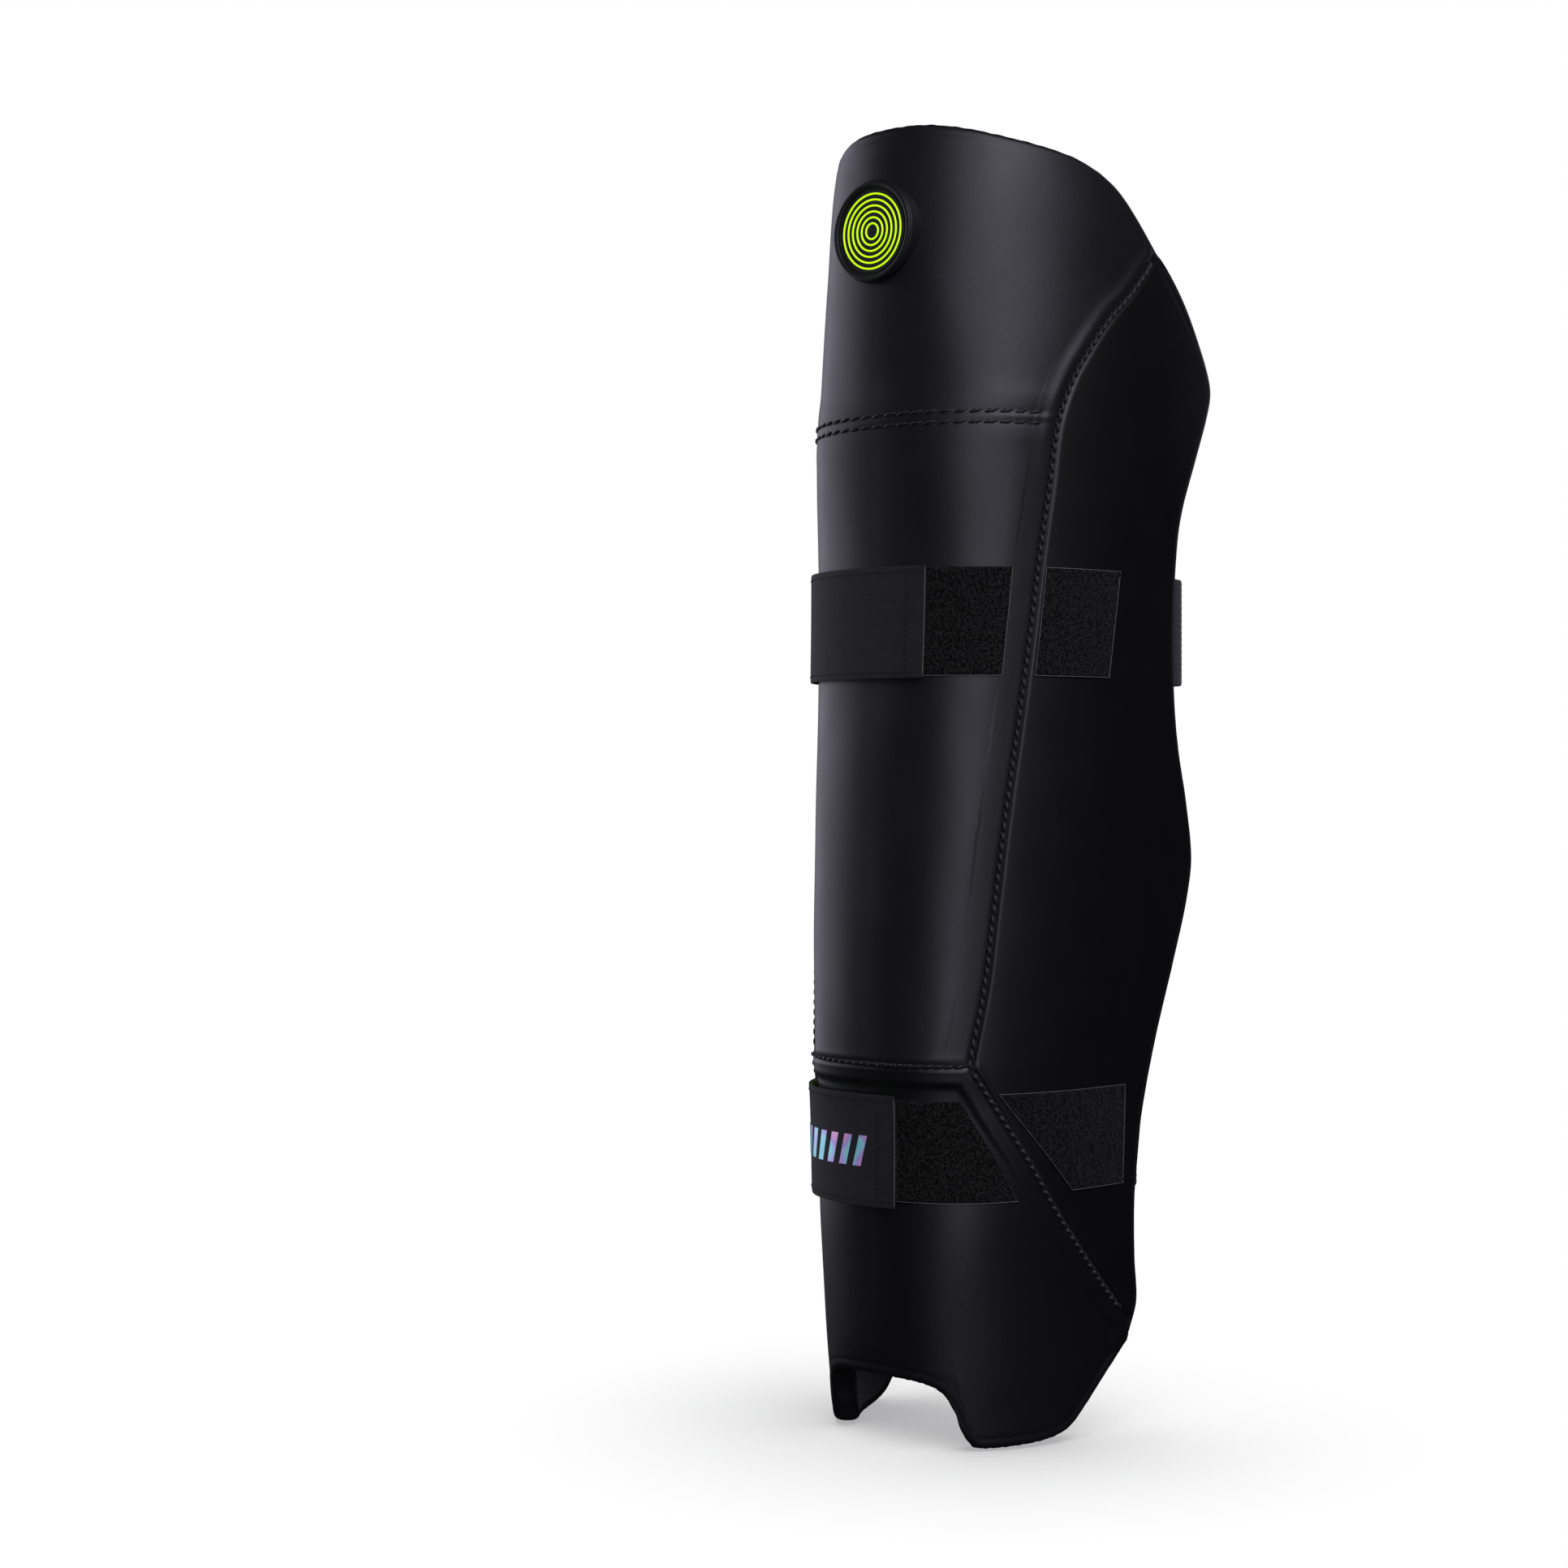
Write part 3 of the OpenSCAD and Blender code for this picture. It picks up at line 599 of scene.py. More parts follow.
def tubes(points, radius, sides=6):
    """A thin round line through points, closed at its ends, as (verts, faces)."""
    points = np.asarray(points)
    t = unit(np.gradient(points, axis=0))
    ref = np.where(np.abs(t[:, 2:3]) < 0.9, [[0, 0, 1.0]], [[1.0, 0, 0]])
    a = unit(np.cross(t, ref))
    b = np.cross(t, a)
    verts = points[:, None] + rounds(a, b, sides) * radius * MM
    g = np.arange(len(points) * sides).reshape(len(points), sides)
    nxt = np.roll(g, -1, 1)
    wall = np.stack([g[:-1], nxt[:-1], nxt[1:], g[1:]], -1).reshape(-1, 4)
    return verts.reshape(-1, 3), wall.tolist() + [g[0, ::-1].tolist(), g[-1].tolist()]


def metres(grid_points):
    """UV in metres over a grid of points, from the lengths of its middle row and column."""
    rows, cols = grid_points.shape[:2]
    x, y = run_along(grid_points[rows // 2]), run_along(grid_points[:, cols // 2])
    return np.stack(np.broadcast_arrays(x[None, :], y[:, None]), -1)


def root_piece(obj, slot, *nodes):
    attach(obj, "root")
    if nodes:
        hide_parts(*nodes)
    return obj


# ------------------------ covers
EDGE_INSET = 3.4
SIDES = (("right", 1), ("left", -1))


def cover(name, u, z, skin, slot):
    h = relief(u, z)
    root_piece(layer(name, u, z, -h, COVER_T - h, skin), slot, name)


def knee_places(cols, rows):
    """The knee panel's grid: from the knee row up to the top edge, its sides along the wing seams."""
    a = steps(-1, 1, cols, 0.8)[None, :]
    v = steps(0, 1, rows, 0.6)[:, None]
    top_u = TOP_U * a
    top = top_z(top_u) - EDGE_INSET
    side_z = KNEE_ROW_Z + (top_z(TOP_U) - EDGE_INSET - KNEE_ROW_Z) * v
    low_u = seam_u(KNEE_ROW_Z)
    bulge = (seam_u(side_z) - low_u - (TOP_U - low_u) * v) * a * np.abs(a)
    return low_u * a + (top_u - low_u * a) * v + bulge, KNEE_ROW_Z + (top - KNEE_ROW_Z) * v


def shin_places(cols, rows):
    z = steps(ANKLE_ROW_Z, KNEE_ROW_Z, rows, 0.5)[:, None]
    return steps(-1, 1, cols, 0.8)[None, :] * seam_u(z), z


def ankle_places(cols, rows):
    half = ANKLE_SIDE_U * steps(0, 1, cols // 2)
    u = np.concatenate([-half[::-1], half[1:]])[None, :]
    v = steps(0, 1, rows, 0.5)[:, None]
    return u, (instep_z(u) + EDGE_INSET) * (1 - v) + ankle_top_z(u) * v


def wing_places(cols, rows, side):
    z = steps(WING_LOW_Z, WING_TOP_Z, rows)[:, None]
    front = wing_front_u(z)
    u = front + (rear_u(z) - EDGE_INSET / MM_PER_U - front) * steps(0, 1, cols, 0.7)[None, :]
    return (u, z) if side > 0 else (-u[:, ::-1], z)


def covers():
    cover("knee_cover", *knee_places(220, 100), FRONT, "front_cover")
    cover("shin_cover", *shin_places(190, 190), FRONT, "front_cover")
    cover("ankle_cover", *ankle_places(220, 120), ANKLE_SHADED_LEATHER, "ankle_cover")
    for word, side in SIDES:
        cover(f"wing_cover_{word}", *wing_places(70, 320, side), WING_SHADED_LEATHER, "wing_cover")


def rim_section(n):
    """(distance in from the edge, depth) round the padded edge, closed behind."""
    phi = np.radians(np.linspace(-90, 90, n))
    w = RIM_W * (1 - np.abs(np.cos(phi)) ** (2 / 3))
    d = RIM_T / 2 * (1 + np.sign(np.sin(phi)) * np.abs(np.sin(phi)) ** (2 / 3))
    return w, d


def rim(name, path, inward):
    """A soft turned edge along a path of (u, z). inward says to which side of the path the pad lies."""
    path = np.asarray(path, float)
    p = on_pad(path[:, 0], path[:, 1], 0)
    t = unit(np.gradient(p, axis=0))
    n = outward(path[:, 0], path[:, 1])
    b = np.cross(n, t) * inward
    w, d = rim_section(18)
    at = np.arange(len(path))
    uneven = 0.25 * np.sin(at * 0.9) * np.sin(at * 0.23)
    uneven = uneven[:, None] * np.cos((d / RIM_T - 0.5) * np.pi)
    into, down = b[:, None], n[:, None] * d[:, None]
    outer = p[:, None] + (into * w[:, None] - down) * MM
    outer = outer - into * uneven[..., None] * MM
    back = p[:, None] + (into * RIM_W - down) * MM
    return root_piece(shell(name, outer, back, EDGE, smooth_deg=60), "binding", name)


def rims():
    top_u = steps(-TOP_U, TOP_U, 220)
    rim("top_binding", np.stack([top_u, top_z(top_u)], -1), -1)
    half = steps(0, 91.0, 200)
    low_u = np.concatenate([-half[::-1], half[1:]])
    rim("instep_binding", np.stack([low_u, instep_z(low_u)], -1), 1)
    z = steps(WING_LOW_Z - 6, WING_TOP_Z + 3, 260)
    for word, side in SIDES:
        rim(f"wing_binding_{word}", np.stack([side * rear_u(z), z], -1), side)


# ------------------------ seams
def seam_path(line, z0, z1, side):
    z = np.linspace(z0, z1, 160)
    return np.stack([side * line(z), z], -1)


def welts_and_ropes():
    """Each seam's rope of slanted stitches, two crossing threads at a time, with its rolled core."""
    for word, side in SIDES:
        wing = seam_path(seam_u, ANKLE_ROW_Z + 3, WING_TOP_Z - 4, side)
        ankle = seam_path(ankle_seam_u, WING_LOW_Z + 7, ANKLE_ROW_Z - 2, side)
        for name, path in (("wing_welt", wing), ("ankle_welt", ankle)):
            p, _, n = along_path(path, 1.5, -0.25)
            core = tubes(p - n * 0.1 * MM, 0.75, 8)
            rope = row_of(path, ROPE_PITCH, 5.8, slant=21 * side, radius=0.95, height=0.25)
            under = row_of(path, ROPE_PITCH, 4.6, slant=-36 * side, radius=0.5, height=0.1)
            seam = joined(f"{name}_{word}", [core, rope, under], STITCH, smooth_deg=80)
            root_piece(seam, "seam_roll", f"{name}_{word}")


def level_path(end, z, n):
    u = np.linspace(-end, end, n)
    return np.stack([u, np.full_like(u, z)], -1)


def stitched_rows():
    parts = []
    for k, z in enumerate(KNEE_ROWS):
        path = level_path(seam_u(KNEE_ROW_Z) - KNEE_ROW_END, z, 200)
        parts.append(row_of(path, KNEE_PITCH, 6.8, slant=9 if k else 12, radius=0.58, height=0.1))
        parts.append(row_of(path, KNEE_PITCH, 3.6, slant=-26, radius=0.45, height=0.05))
    root_piece(joined("knee_row_stitches", parts, STITCH, smooth_deg=80), "seam_roll")
    path = level_path(CORNER_U - 0.8, ANKLE_ROW_Z, 160)
    parts = [row_of(path, ROPE_PITCH, 5.0, slant=13, radius=0.6, height=0.2),
             row_of(path, ROPE_PITCH, 3.6, slant=-26, radius=0.4, height=0.05)]
    root_piece(joined("ankle_row_stitches", parts, STITCH, smooth_deg=80), "seam_roll")


# ------------------------ inside
def rounded(u0, u1, z0, z1, cols, rows, crowd=0.0, squeeze=0.1):
    """A grid over a patch of the surface whose corners are rounded."""
    s = steps(-1, 1, cols, crowd)[None, :]
    t = steps(-1, 1, rows, crowd)[:, None]
    a, b = s * np.sqrt(1 - squeeze * t**4), t * np.sqrt(1 - squeeze * s**4)
    return (u0 + u1) / 2 + (u1 - u0) / 2 * a, (z0 + z1) / 2 + (z1 - z0) / 2 * b


def foam_slab(name, u, z, thickness):
    """Sheet foam with softened edges, under its cover."""
    u, z = np.broadcast_arrays(u, z)
    rows, cols = u.shape
    i = np.abs(np.linspace(-1, 1, cols))[None, :] ** 24
    j = np.abs(np.linspace(-1, 1, rows))[:, None] ** 24
    soft = 1.2 * np.maximum(i, j)
    top = FOAM_D - np.minimum(relief(u, z), 0) + soft
    slab = layer(name, u, z, top, FOAM_D + thickness - soft, FOAM)
    root_piece(slab, "foam", name)


def foams():
    foam_slab("knee_foam", *knee_places(60, 30), FOAM_T)
    foam_slab("shin_foam", *shin_places(50, 60), FOAM_T)
    foam_slab("ankle_foam", *ankle_places(60, 30), PLAIN_FOAM_T)
    for word, side in SIDES:
        foam_slab(f"wing_foam_{word}", *wing_places(24, 80, side), PLAIN_FOAM_T)


SHIELD_D, SHIELD_T = FOAM_D + FOAM_T + 0.8, 1.6
FLUTE_H, FLUTE_PITCH = 0.35, 14.0
KNEE_SHIELD = (-50, 50, KNEE_ROW_Z + 6, PAD_H - 22)
SHIN_SHIELD = (-36, 36, ANKLE_ROW_Z + 6, KNEE_ROW_Z - 6)


def shields():
    """Moulded sheets with shallow flutes running down them."""
    for name, (u0, u1, z0, z1) in (("knee_shield", KNEE_SHIELD), ("shin_shield", SHIN_SHIELD)):
        u, z = rounded(u0, u1, z0, z1, 60, 60)
        flutes = FLUTE_H * (0.5 + 0.5 * np.cos(2 * np.pi * u / FLUTE_PITCH))
        piece = layer(name, u, z, SHIELD_D + flutes, SHIELD_D + SHIELD_T - FLUTE_H + flutes, SHIELD)
        root_piece(piece, "shield", name)


LINING_INSET = BINDING_W + 1.5
LINING_LOW_U, LINING_TOP_U = 90.0, 94.0
QUILT_PITCH = 52.0


def lining():
    """The whole inside, lightly quilted: rows spread between the instep edge and the top edge."""
    a = steps(-1, 1, 150)[None, :]
    v = steps(0, 1, 220)[:, None]
    low_u, top_u = LINING_LOW_U * a, LINING_TOP_U * a
    low = instep_z(low_u) + LINING_INSET
    top = top_z(top_u) - LINING_INSET
    z0 = instep_z(LINING_LOW_U) + LINING_INSET
    side_z = z0 + (top_z(LINING_TOP_U) - LINING_INSET - z0) * v
    side_u = LINING_LOW_U + (LINING_TOP_U - LINING_LOW_U) * v
    bulge = (rear_u(side_z) - LINING_INSET / MM_PER_U - side_u) * a * np.abs(a) ** 3
    u, z = low_u + (top_u - low_u) * v + bulge, low + (top - low) * v
    quilt = 0.4 * hump(np.mod(z, QUILT_PITCH) - QUILT_PITCH / 2, 1.6)
    inner = on_pad(u, z, LINING_D + LINING_T - quilt)
    piece = shell("lining", on_pad(u, z, LINING_D), inner, LINING, uv=metres(inner))
    root_piece(piece, "lining", "lining")


BOLSTERS = {
    "knee_bolster_right": ((38, 86, KNEE_ROW_Z + 8, PAD_H - 62), 1),
    "knee_bolster_left": ((-86, -38, KNEE_ROW_Z + 8, PAD_H - 62), 1),
    "knee_roll": ((-34, 34, KNEE_ROW_Z - 42, KNEE_ROW_Z - 8), 0),
    "shin_bolster_right": ((14, 62, ANKLE_ROW_Z + 20, KNEE_ROW_Z - 50), 3),
    "shin_bolster_left": ((-62, -14, ANKLE_ROW_Z + 20, KNEE_ROW_Z - 50), 3),
}
SWELL_CAP, SEWN_REACH = 5.0, 2.4
CHANNEL_SINK, CHANNEL_W = 0.62, 4.0
VOXEL = 2.8
BOLSTER_COLS, BOLSTER_ROWS, BOLSTER_CROWD = 26, 40, 0.6


def applied(obj, kind, **values):
    """Puts one modifier on a piece and applies it."""
    mod = obj.modifiers.new(kind, kind)
    for key, value in values.items():
        setattr(mod, key, value)
    bpy.context.view_layer.objects.active = obj
    bpy.ops.object.modifier_apply(modifier=mod.name)


def finder(points):
    """A search tree over points."""
    tree = kdtree.KDTree(len(points))
    for i, point in enumerate(points):
        tree.insert(point, i)
    tree.balance()
    return tree


def swell(obj, base, frames=20, pressure=4.0):
    """Cloth inflated from inside, held where it is sewn to the lining, its travel capped."""
    applied(obj, "REMESH", mode="VOXEL", voxel_size=VOXEL * MM, use_smooth_shade=True)
    applied(obj, "SMOOTH", factor=0.5, iterations=3)
    mesh = obj.data
    start = np.array([v.co for v in mesh.vertices])
    sewn = finder(base)
    near = np.array([sewn.find(p)[2] for p in start])
    held = obj.vertex_groups.new(name="sewn")
    held.add(np.flatnonzero(near < SEWN_REACH * MM).tolist(), 1.0, "REPLACE")
    cloth_mod = obj.modifiers.new("Cloth", "CLOTH")
    settings = cloth_mod.settings
    settings.use_pressure, settings.uniform_pressure_force = True, pressure
    settings.vertex_group_mass = held.name
    settings.effector_weights.gravity = 0
    cloth_mod.point_cache.frame_end = frames
    for frame_no in range(1, frames + 1):
        bpy.context.scene.frame_set(frame_no)
    shape = obj.evaluated_get(bpy.context.evaluated_depsgraph_get()).data
    end = np.array([v.co for v in shape.vertices])
    obj.modifiers.remove(cloth_mod)
    move = end - start
    far = np.linalg.norm(move, axis=1, keepdims=True)
    end = start + move * np.minimum(1, SWELL_CAP * MM / np.maximum(far, 1e-9))
    mesh.vertices.foreach_set("co", end.ravel())
    bpy.context.scene.frame_set(1)


def bolster(name, box, channels):
    """A sewn cushion on the lining, puffed up, then drawn down along its sewn channels."""
    u0, u1, z0, z1 = box
    cols, rows, crowd = BOLSTER_COLS, BOLSTER_ROWS, BOLSTER_CROWD
    u, z = rounded(u0 + 1, u1 - 1, z0 + 2, z1 - 2, cols, rows, crowd, 0.18)
    s = np.sin(np.pi * steps(0, 1, cols, crowd))[None, :] * np.sin(np.pi * steps(0, 1, rows, crowd))[:, None]
    crown = 2.5 + (BOLSTER_T - 5.5) * s ** 0.42
    base = on_pad(u, z, INNER_D + 0.2)
    puff = shell(name, base, on_pad(u, z, INNER_D + crown), BOLSTER, smooth_deg=80)
    base = base.reshape(-1, 3)
    swell(puff, base)
    mesh = puff.data
    co = np.array([v.co for v in mesh.vertices])
    sewn = finder(base)
    nearest = [sewn.find(p)[1] for p in co]
    normal = outward(u, z).reshape(-1, 3)[nearest]
    rise = np.einsum("ij,ij->i", co - base[nearest], -normal) / MM
    for k in range(channels):
        row = z0 + (z1 - z0) * (k + 1) / (channels + 1)
        sink = CHANNEL_SINK * hump(co[:, 2] / MM - row, CHANNEL_W) * np.clip(rise, 0, None)
        co = co + normal * (sink * MM)[:, None]
    rise = np.clip(rise, 0, BOLSTER_T - 0.4) - rise
    co = co - normal * (rise * MM)[:, None]
    mesh.vertices.foreach_set("co", co.ravel())
    applied(puff, "SMOOTH", factor=0.5, iterations=2)
    applied(puff, "SUBSURF", levels=1, render_levels=1)
    puff.data.shade_smooth()
    root_piece(puff, "bolster", name)


# ------------------------ loop tape
LOOP_T, NAP = 1.0, 0.13
TAPE_RIB_PITCH, TAPE_RIB_BAND = 1.9, 3.6
ALL_ROUND = ("low", "left", "right", "high")


def tape(name, u, z, outline):
    """Loop tape sewn on the covers: a napped top, ribbed along its upper edge, and a pale selvage."""
    u, z = np.broadcast_arrays(u, z)
    h = relief(u, z)
    rows, cols = u.shape
    nap = rng.normal(0, NAP, (rows, cols))
    nap = nap + 0.16 * np.sin(u * 3.1 + 2 * np.sin(z * 0.9)) * np.sin(z * 1.9 + 1.7 * np.sin(u * 0.7))
    from_top = (1 - np.linspace(0, 1, rows))[:, None] * (z.max() - z.min())
    ribs = 0.35 * np.sin(2 * np.pi * u * mm_per_unit(u, z) / TAPE_RIB_PITCH) * (from_top < TAPE_RIB_BAND)
    edge = np.minimum(from_ends(rows)[:, None], from_ends(cols)[None, :])
    soft = np.clip(edge / 2.0, 0, 1)
    top = -h - 0.25 - (LOOP_T + nap + ribs) * (0.45 + 0.55 * soft)
    piece = layer(name, u, z, top, -h + 0.35, LOOP, smooth_deg=80)
    root_piece(piece, "loop_tape", name)
    sides = {"low": np.s_[0, :], "high": np.s_[-1, :], "left": np.s_[:, 0], "right": np.s_[:, -1]}
    parts = []
    for side in outline:
        edge_u, edge_z = u[sides[side]], z[sides[side]]
        parts.append(tubes(on_pad(edge_u, edge_z, -relief(edge_u, edge_z) - 0.8), 0.14, 5))
    root_piece(joined(f"{name}_selvage", parts, SELVAGE, smooth_deg=80), "loop_tape")


UPPER_STRAP_Z, LOWER_STRAP_Z = 350.0, 110.0


def tapes():
    v = steps(0, 1, 80)[:, None]
    z = UPPER_STRAP_Z + 1 + v * (STRAP_W - 2)
    s = steps(0, 1, 300)[None, :]
    tape("upper_front_loop", -40 + (83.5 + 2.6 * v) * s, z, ("low", "right"))
    tape("upper_wing_loop", 54.6 + 2.8 * v + 25.2 * steps(0, 1, 120)[None, :], z, ALL_ROUND)
    z = LOWER_STRAP_Z + 3 + v * (STRAP_W - 5)
    tape("lower_front_loop", -36 + (ankle_seam_u(z) - 10.5 + 36) * s, z, ("low",))
    z = z + 3
    a = ankle_seam_u(z) + 4 + 0.1 * (160 - z)
    tape("lower_wing_loop", a + (88 - a) * steps(0, 1, 150)[None, :], z, ALL_ROUND)


# ------------------------ badge
BADGE_Z, BADGE_R, BADGE_T = 555.0, 23.5, 2.2
BADGE_RIM_W, BADGE_RIM_H = 2.5, 1.2
BADGE_Y = -curve(DEPTHS, BADGE_Z) - 0.7
MOTIF_W, MOTIF_H, MOTIF_PITCH = 0.8, 0.5, 2.7


def turned(outline, n=128, under=None):
    """A solid turned on the badge's axis from (radius, height) pairs round a closed outline."""
    turn = 2 * np.pi * np.arange(n) / n
    r, h = np.array(outline, float).T[:, :, None]
    x, z = r * np.cos(turn), BADGE_Z + r * np.sin(turn)
    h = np.broadcast_to(h, x.shape)
    y = BADGE_Y - h
    if under is not None:
        y = np.where(h < 0, under(x, z), y)
    g = np.arange(x.size).reshape(x.shape)
    nxt = np.roll(g, -1, 1)
    faces = np.stack([g, nxt, np.roll(nxt, -1, 0), np.roll(g, -1, 0)], -1)
    return np.stack([x, y, z], -1) * MM, faces.reshape(-1, 4)


def pad_front_y(x, z):
    """Where the plain surface's front stands, in mm, at x and z."""
    w, r, p = curve(HALF_WIDTHS, z), curve(DEPTHS, z), curve(POWERS, z)
    return -r * (1 - np.clip(np.abs(x) / w, 0, 1) ** p) ** (1 / p)


def ring_profile(r, w, h0, h1, soft):
    """Outline of a soft-edged ring of radius r, w wide, between two heights."""
    a = np.radians(np.linspace(0, 180, 11))
    crown = [(r - w / 2 + w / 2 * math.cos(t), h1 - soft + soft * math.sin(t)) for t in a]
    return [(r, h0), *crown, (r - w, h0)]


def badge():
    """A flat rubber disc whose skirt meets the knee, a rolled rim round it and plain lime rings."""
    inner = 0.02
    profile = [(inner, -1.0), (BADGE_R * 0.5, -1.0), (BADGE_R - 0.9, -1.0), (BADGE_R - 0.25, -1.0),
               (BADGE_R, 0.5), (BADGE_R, BADGE_T - 0.6), (BADGE_R - 0.15, BADGE_T - 0.2),
               (BADGE_R - 0.6, BADGE_T), (BADGE_R - 3.6, BADGE_T), (BADGE_R - 3.8, BADGE_T - 0.35),
               (BADGE_R - 4.3, BADGE_T - 0.35), (BADGE_R - 4.5, BADGE_T), (inner, BADGE_T)]
    skirt = turned(profile, under=lambda x, z: np.minimum(pad_front_y(x, z) + 0.25, BADGE_Y + 6.0))
    rolled = turned(ring_profile(BADGE_R - 0.5, BADGE_RIM_W, BADGE_T - 0.1, BADGE_T + BADGE_RIM_H, 0.9))
    rings = [turned(ring_profile(r, MOTIF_W, BADGE_T - 0.05, BADGE_T + MOTIF_H, 0.3))
             for r in np.arange(4.0, 18.1, MOTIF_PITCH)]
    for name, parts, skin, slot in (("badge_base", [skirt], RUBBER, "badge_rubber"),
                                    ("badge_rim", [rolled], RUBBER, "badge_rubber"),
                                    ("badge_motif", rings, LIME_RUBBER, "badge_colour")):
        root_piece(joined(name, parts, skin, smooth_deg=50), slot, name)


# ------------------------ straps
STRAPS = {  # z and bow in mm, end in u, and the (x, y) of the right and left hinges in metres
    "upper": dict(z=UPPER_STRAP_Z, end=17.0, bow=46.0, right=(0.062, 0.032), left=(-0.079, 0.0325)),
    "lower": dict(z=LOWER_STRAP_Z, end=11.0, bow=20.0, right=(0.0553, 0.0165), left=(-0.0723, 0.017)),
}
BAND_D, BAND_T = -3.65, 0.9
BACKING_D, BACKING_T = -2.7, 0.5
HOOK_D, HOOK_T, HOOK_START_U = -2.15, 0.75, -15.0
ELASTIC_T, OVAL_POWER, HINGE_BACK = 1.2, 2.5, 4.0
LAP = 19.0
RIB_PITCH = 3.0
DASH_PITCH, DASH_LENGTH = 2.7, 1.9


def wing_back(z0):
    return MM_PER_U * (max(rear_u(z0), rear_u(z0 + STRAP_W)) - SIDE_U)


def oval(strap, degrees, off):
    """The elastic's path round the calf, in mm, from the right wing (0) to the left hinge (180)."""
    y0 = wing_back(strap["z"]) + HINGE_BACK
    zm = strap["z"] + STRAP_W / 2
    right = on_pad(SIDE_U, zm, INNER_D + ELASTIC_T / 2)[0] / MM
    left = -on_pad(-SIDE_U, zm, BAND_D + BAND_T / 2)[0] / MM
    c, s = np.cos(np.radians(degrees)), np.sin(np.radians(degrees))
    side = np.where(c > 0, right, left)
    x = np.sign(c) * (side + off) * np.abs(c) ** (2 / OVAL_POWER)
    return np.stack([x, y0 + (strap["bow"] + off) * np.abs(s) ** (2 / OVAL_POWER)], -1)


def even(points, step):
    """Points every step mm along a line of points."""
    run = run_along(points)
    at = np.linspace(0, run[-1], max(2, int(run[-1] / step) + 1))
    return np.stack([np.interp(at, run, points[:, i]) for i in range(points.shape[1])], -1)


def relaxed(points, times):
    """A line of points made smoother, its ends kept."""
    points = points.copy()
    for _ in range(times):
        points[1:-1] = (points[:-2] + 2 * points[1:-1] + points[2:]) / 4
    return points


def wrap_route(strap, z, depth, start_u=None):
    """From the strap's end on the front, round the left wing, onto the elastic: XY points in mm."""
    rear = -(SIDE_U + (wing_back(strap["z"]) - 5) / MM_PER_U)
    u = np.linspace(strap["end"], rear if start_u is None else start_u, 160)
    line = on_pad(u, z, depth)[:, :2] / MM
    if start_u is None:
        off = -BAND_D + depth + BAND_T / 2 + ELASTIC_T / 2
        lap = even(oval(strap, np.linspace(179.4, 120, 200), 0.9 - off), 1.0)
        line = np.concatenate([line, lap[run_along(lap) < LAP]])
    return relaxed(even(line, 1.5), 6)


def ribbon(name, rows, thick, material, roll=0.3, ripple=0.0):
    """A strip of cloth with rolled edges. rows are (height, XY points) from the low edge up."""
    n = min(len(line) for _, line in rows)
    grid = []
    for z, line in rows:
        at = np.linspace(0, len(line) - 1, n)
        xy = np.stack([np.interp(at, np.arange(len(line)), line[:, i]) for i in (0, 1)], -1)
        grid.append(np.concatenate([xy, np.full((n, 1), z)], 1))
    grid = np.array(grid)
    tangent = unit(np.gradient(grid, axis=1))
    out = unit(np.stack([-tangent[..., 1], tangent[..., 0], np.zeros(grid.shape[:2])], -1))
    if np.sum(out[:, 0, 1]) > 0:
        out = -out
    r, c = grid.shape[:2]
    thin = 1 - roll * (from_ends(r) < 1)[:, None] - roll * (from_ends(c) < 1)[None, :]
    thin = np.clip(thin, 0.25, 1) + ripple * np.sin(grid[..., 2] * 2 * np.pi / RIB_PITCH)
    half = thick / 2 * thin[..., None]
    outer, inner = grid + out * half, grid - out * half
    return shell(name, outer * MM, inner * MM, material, smooth_deg=60, uv=metres(grid * MM)), grid, out


def bent(obj, slot, nodes, bodies, start, end):
    """Hides the CAD parts that a piece of strap stands for and bakes its placement into its mesh."""
    if nodes:
        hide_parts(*nodes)
    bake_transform(obj)


def hang(obj, word, slot, *nodes):
    """Hands a piece of the strap to bent, with its span, its wrap and two ends at the left hinge."""
    x, y = STRAPS[word]["left"]
    z = (STRAPS[word]["z"] + STRAP_W / 2) * MM
    bent(obj, slot, nodes, (f"{word}_span", f"{word}_wrap"), (x, y + 0.0075, z), (x, y - 0.0065, z))


def on_wrap(obj, word, stands_for):
    """A piece that rides whole on the strap's wrap."""
    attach(obj, f"{word}_wrap")
    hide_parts(stands_for)


def dashes(line, out, height, radius):
    """Stitches along a line of points, lying proud of it."""
    run = run_along(line)
    at = np.arange(DASH_PITCH, run[-1] - DASH_PITCH, DASH_PITCH)

    def along(values, places):
        return np.stack([np.interp(places, run, values[:, i]) for i in range(3)], -1)

    normal = unit(along(out, at))
    a = along(line, at - DASH_LENGTH / 2) + normal * height
    b = along(line, at + DASH_LENGTH / 2) + normal * height
    return threads(a * MM, b * MM, normal, radius * MM)


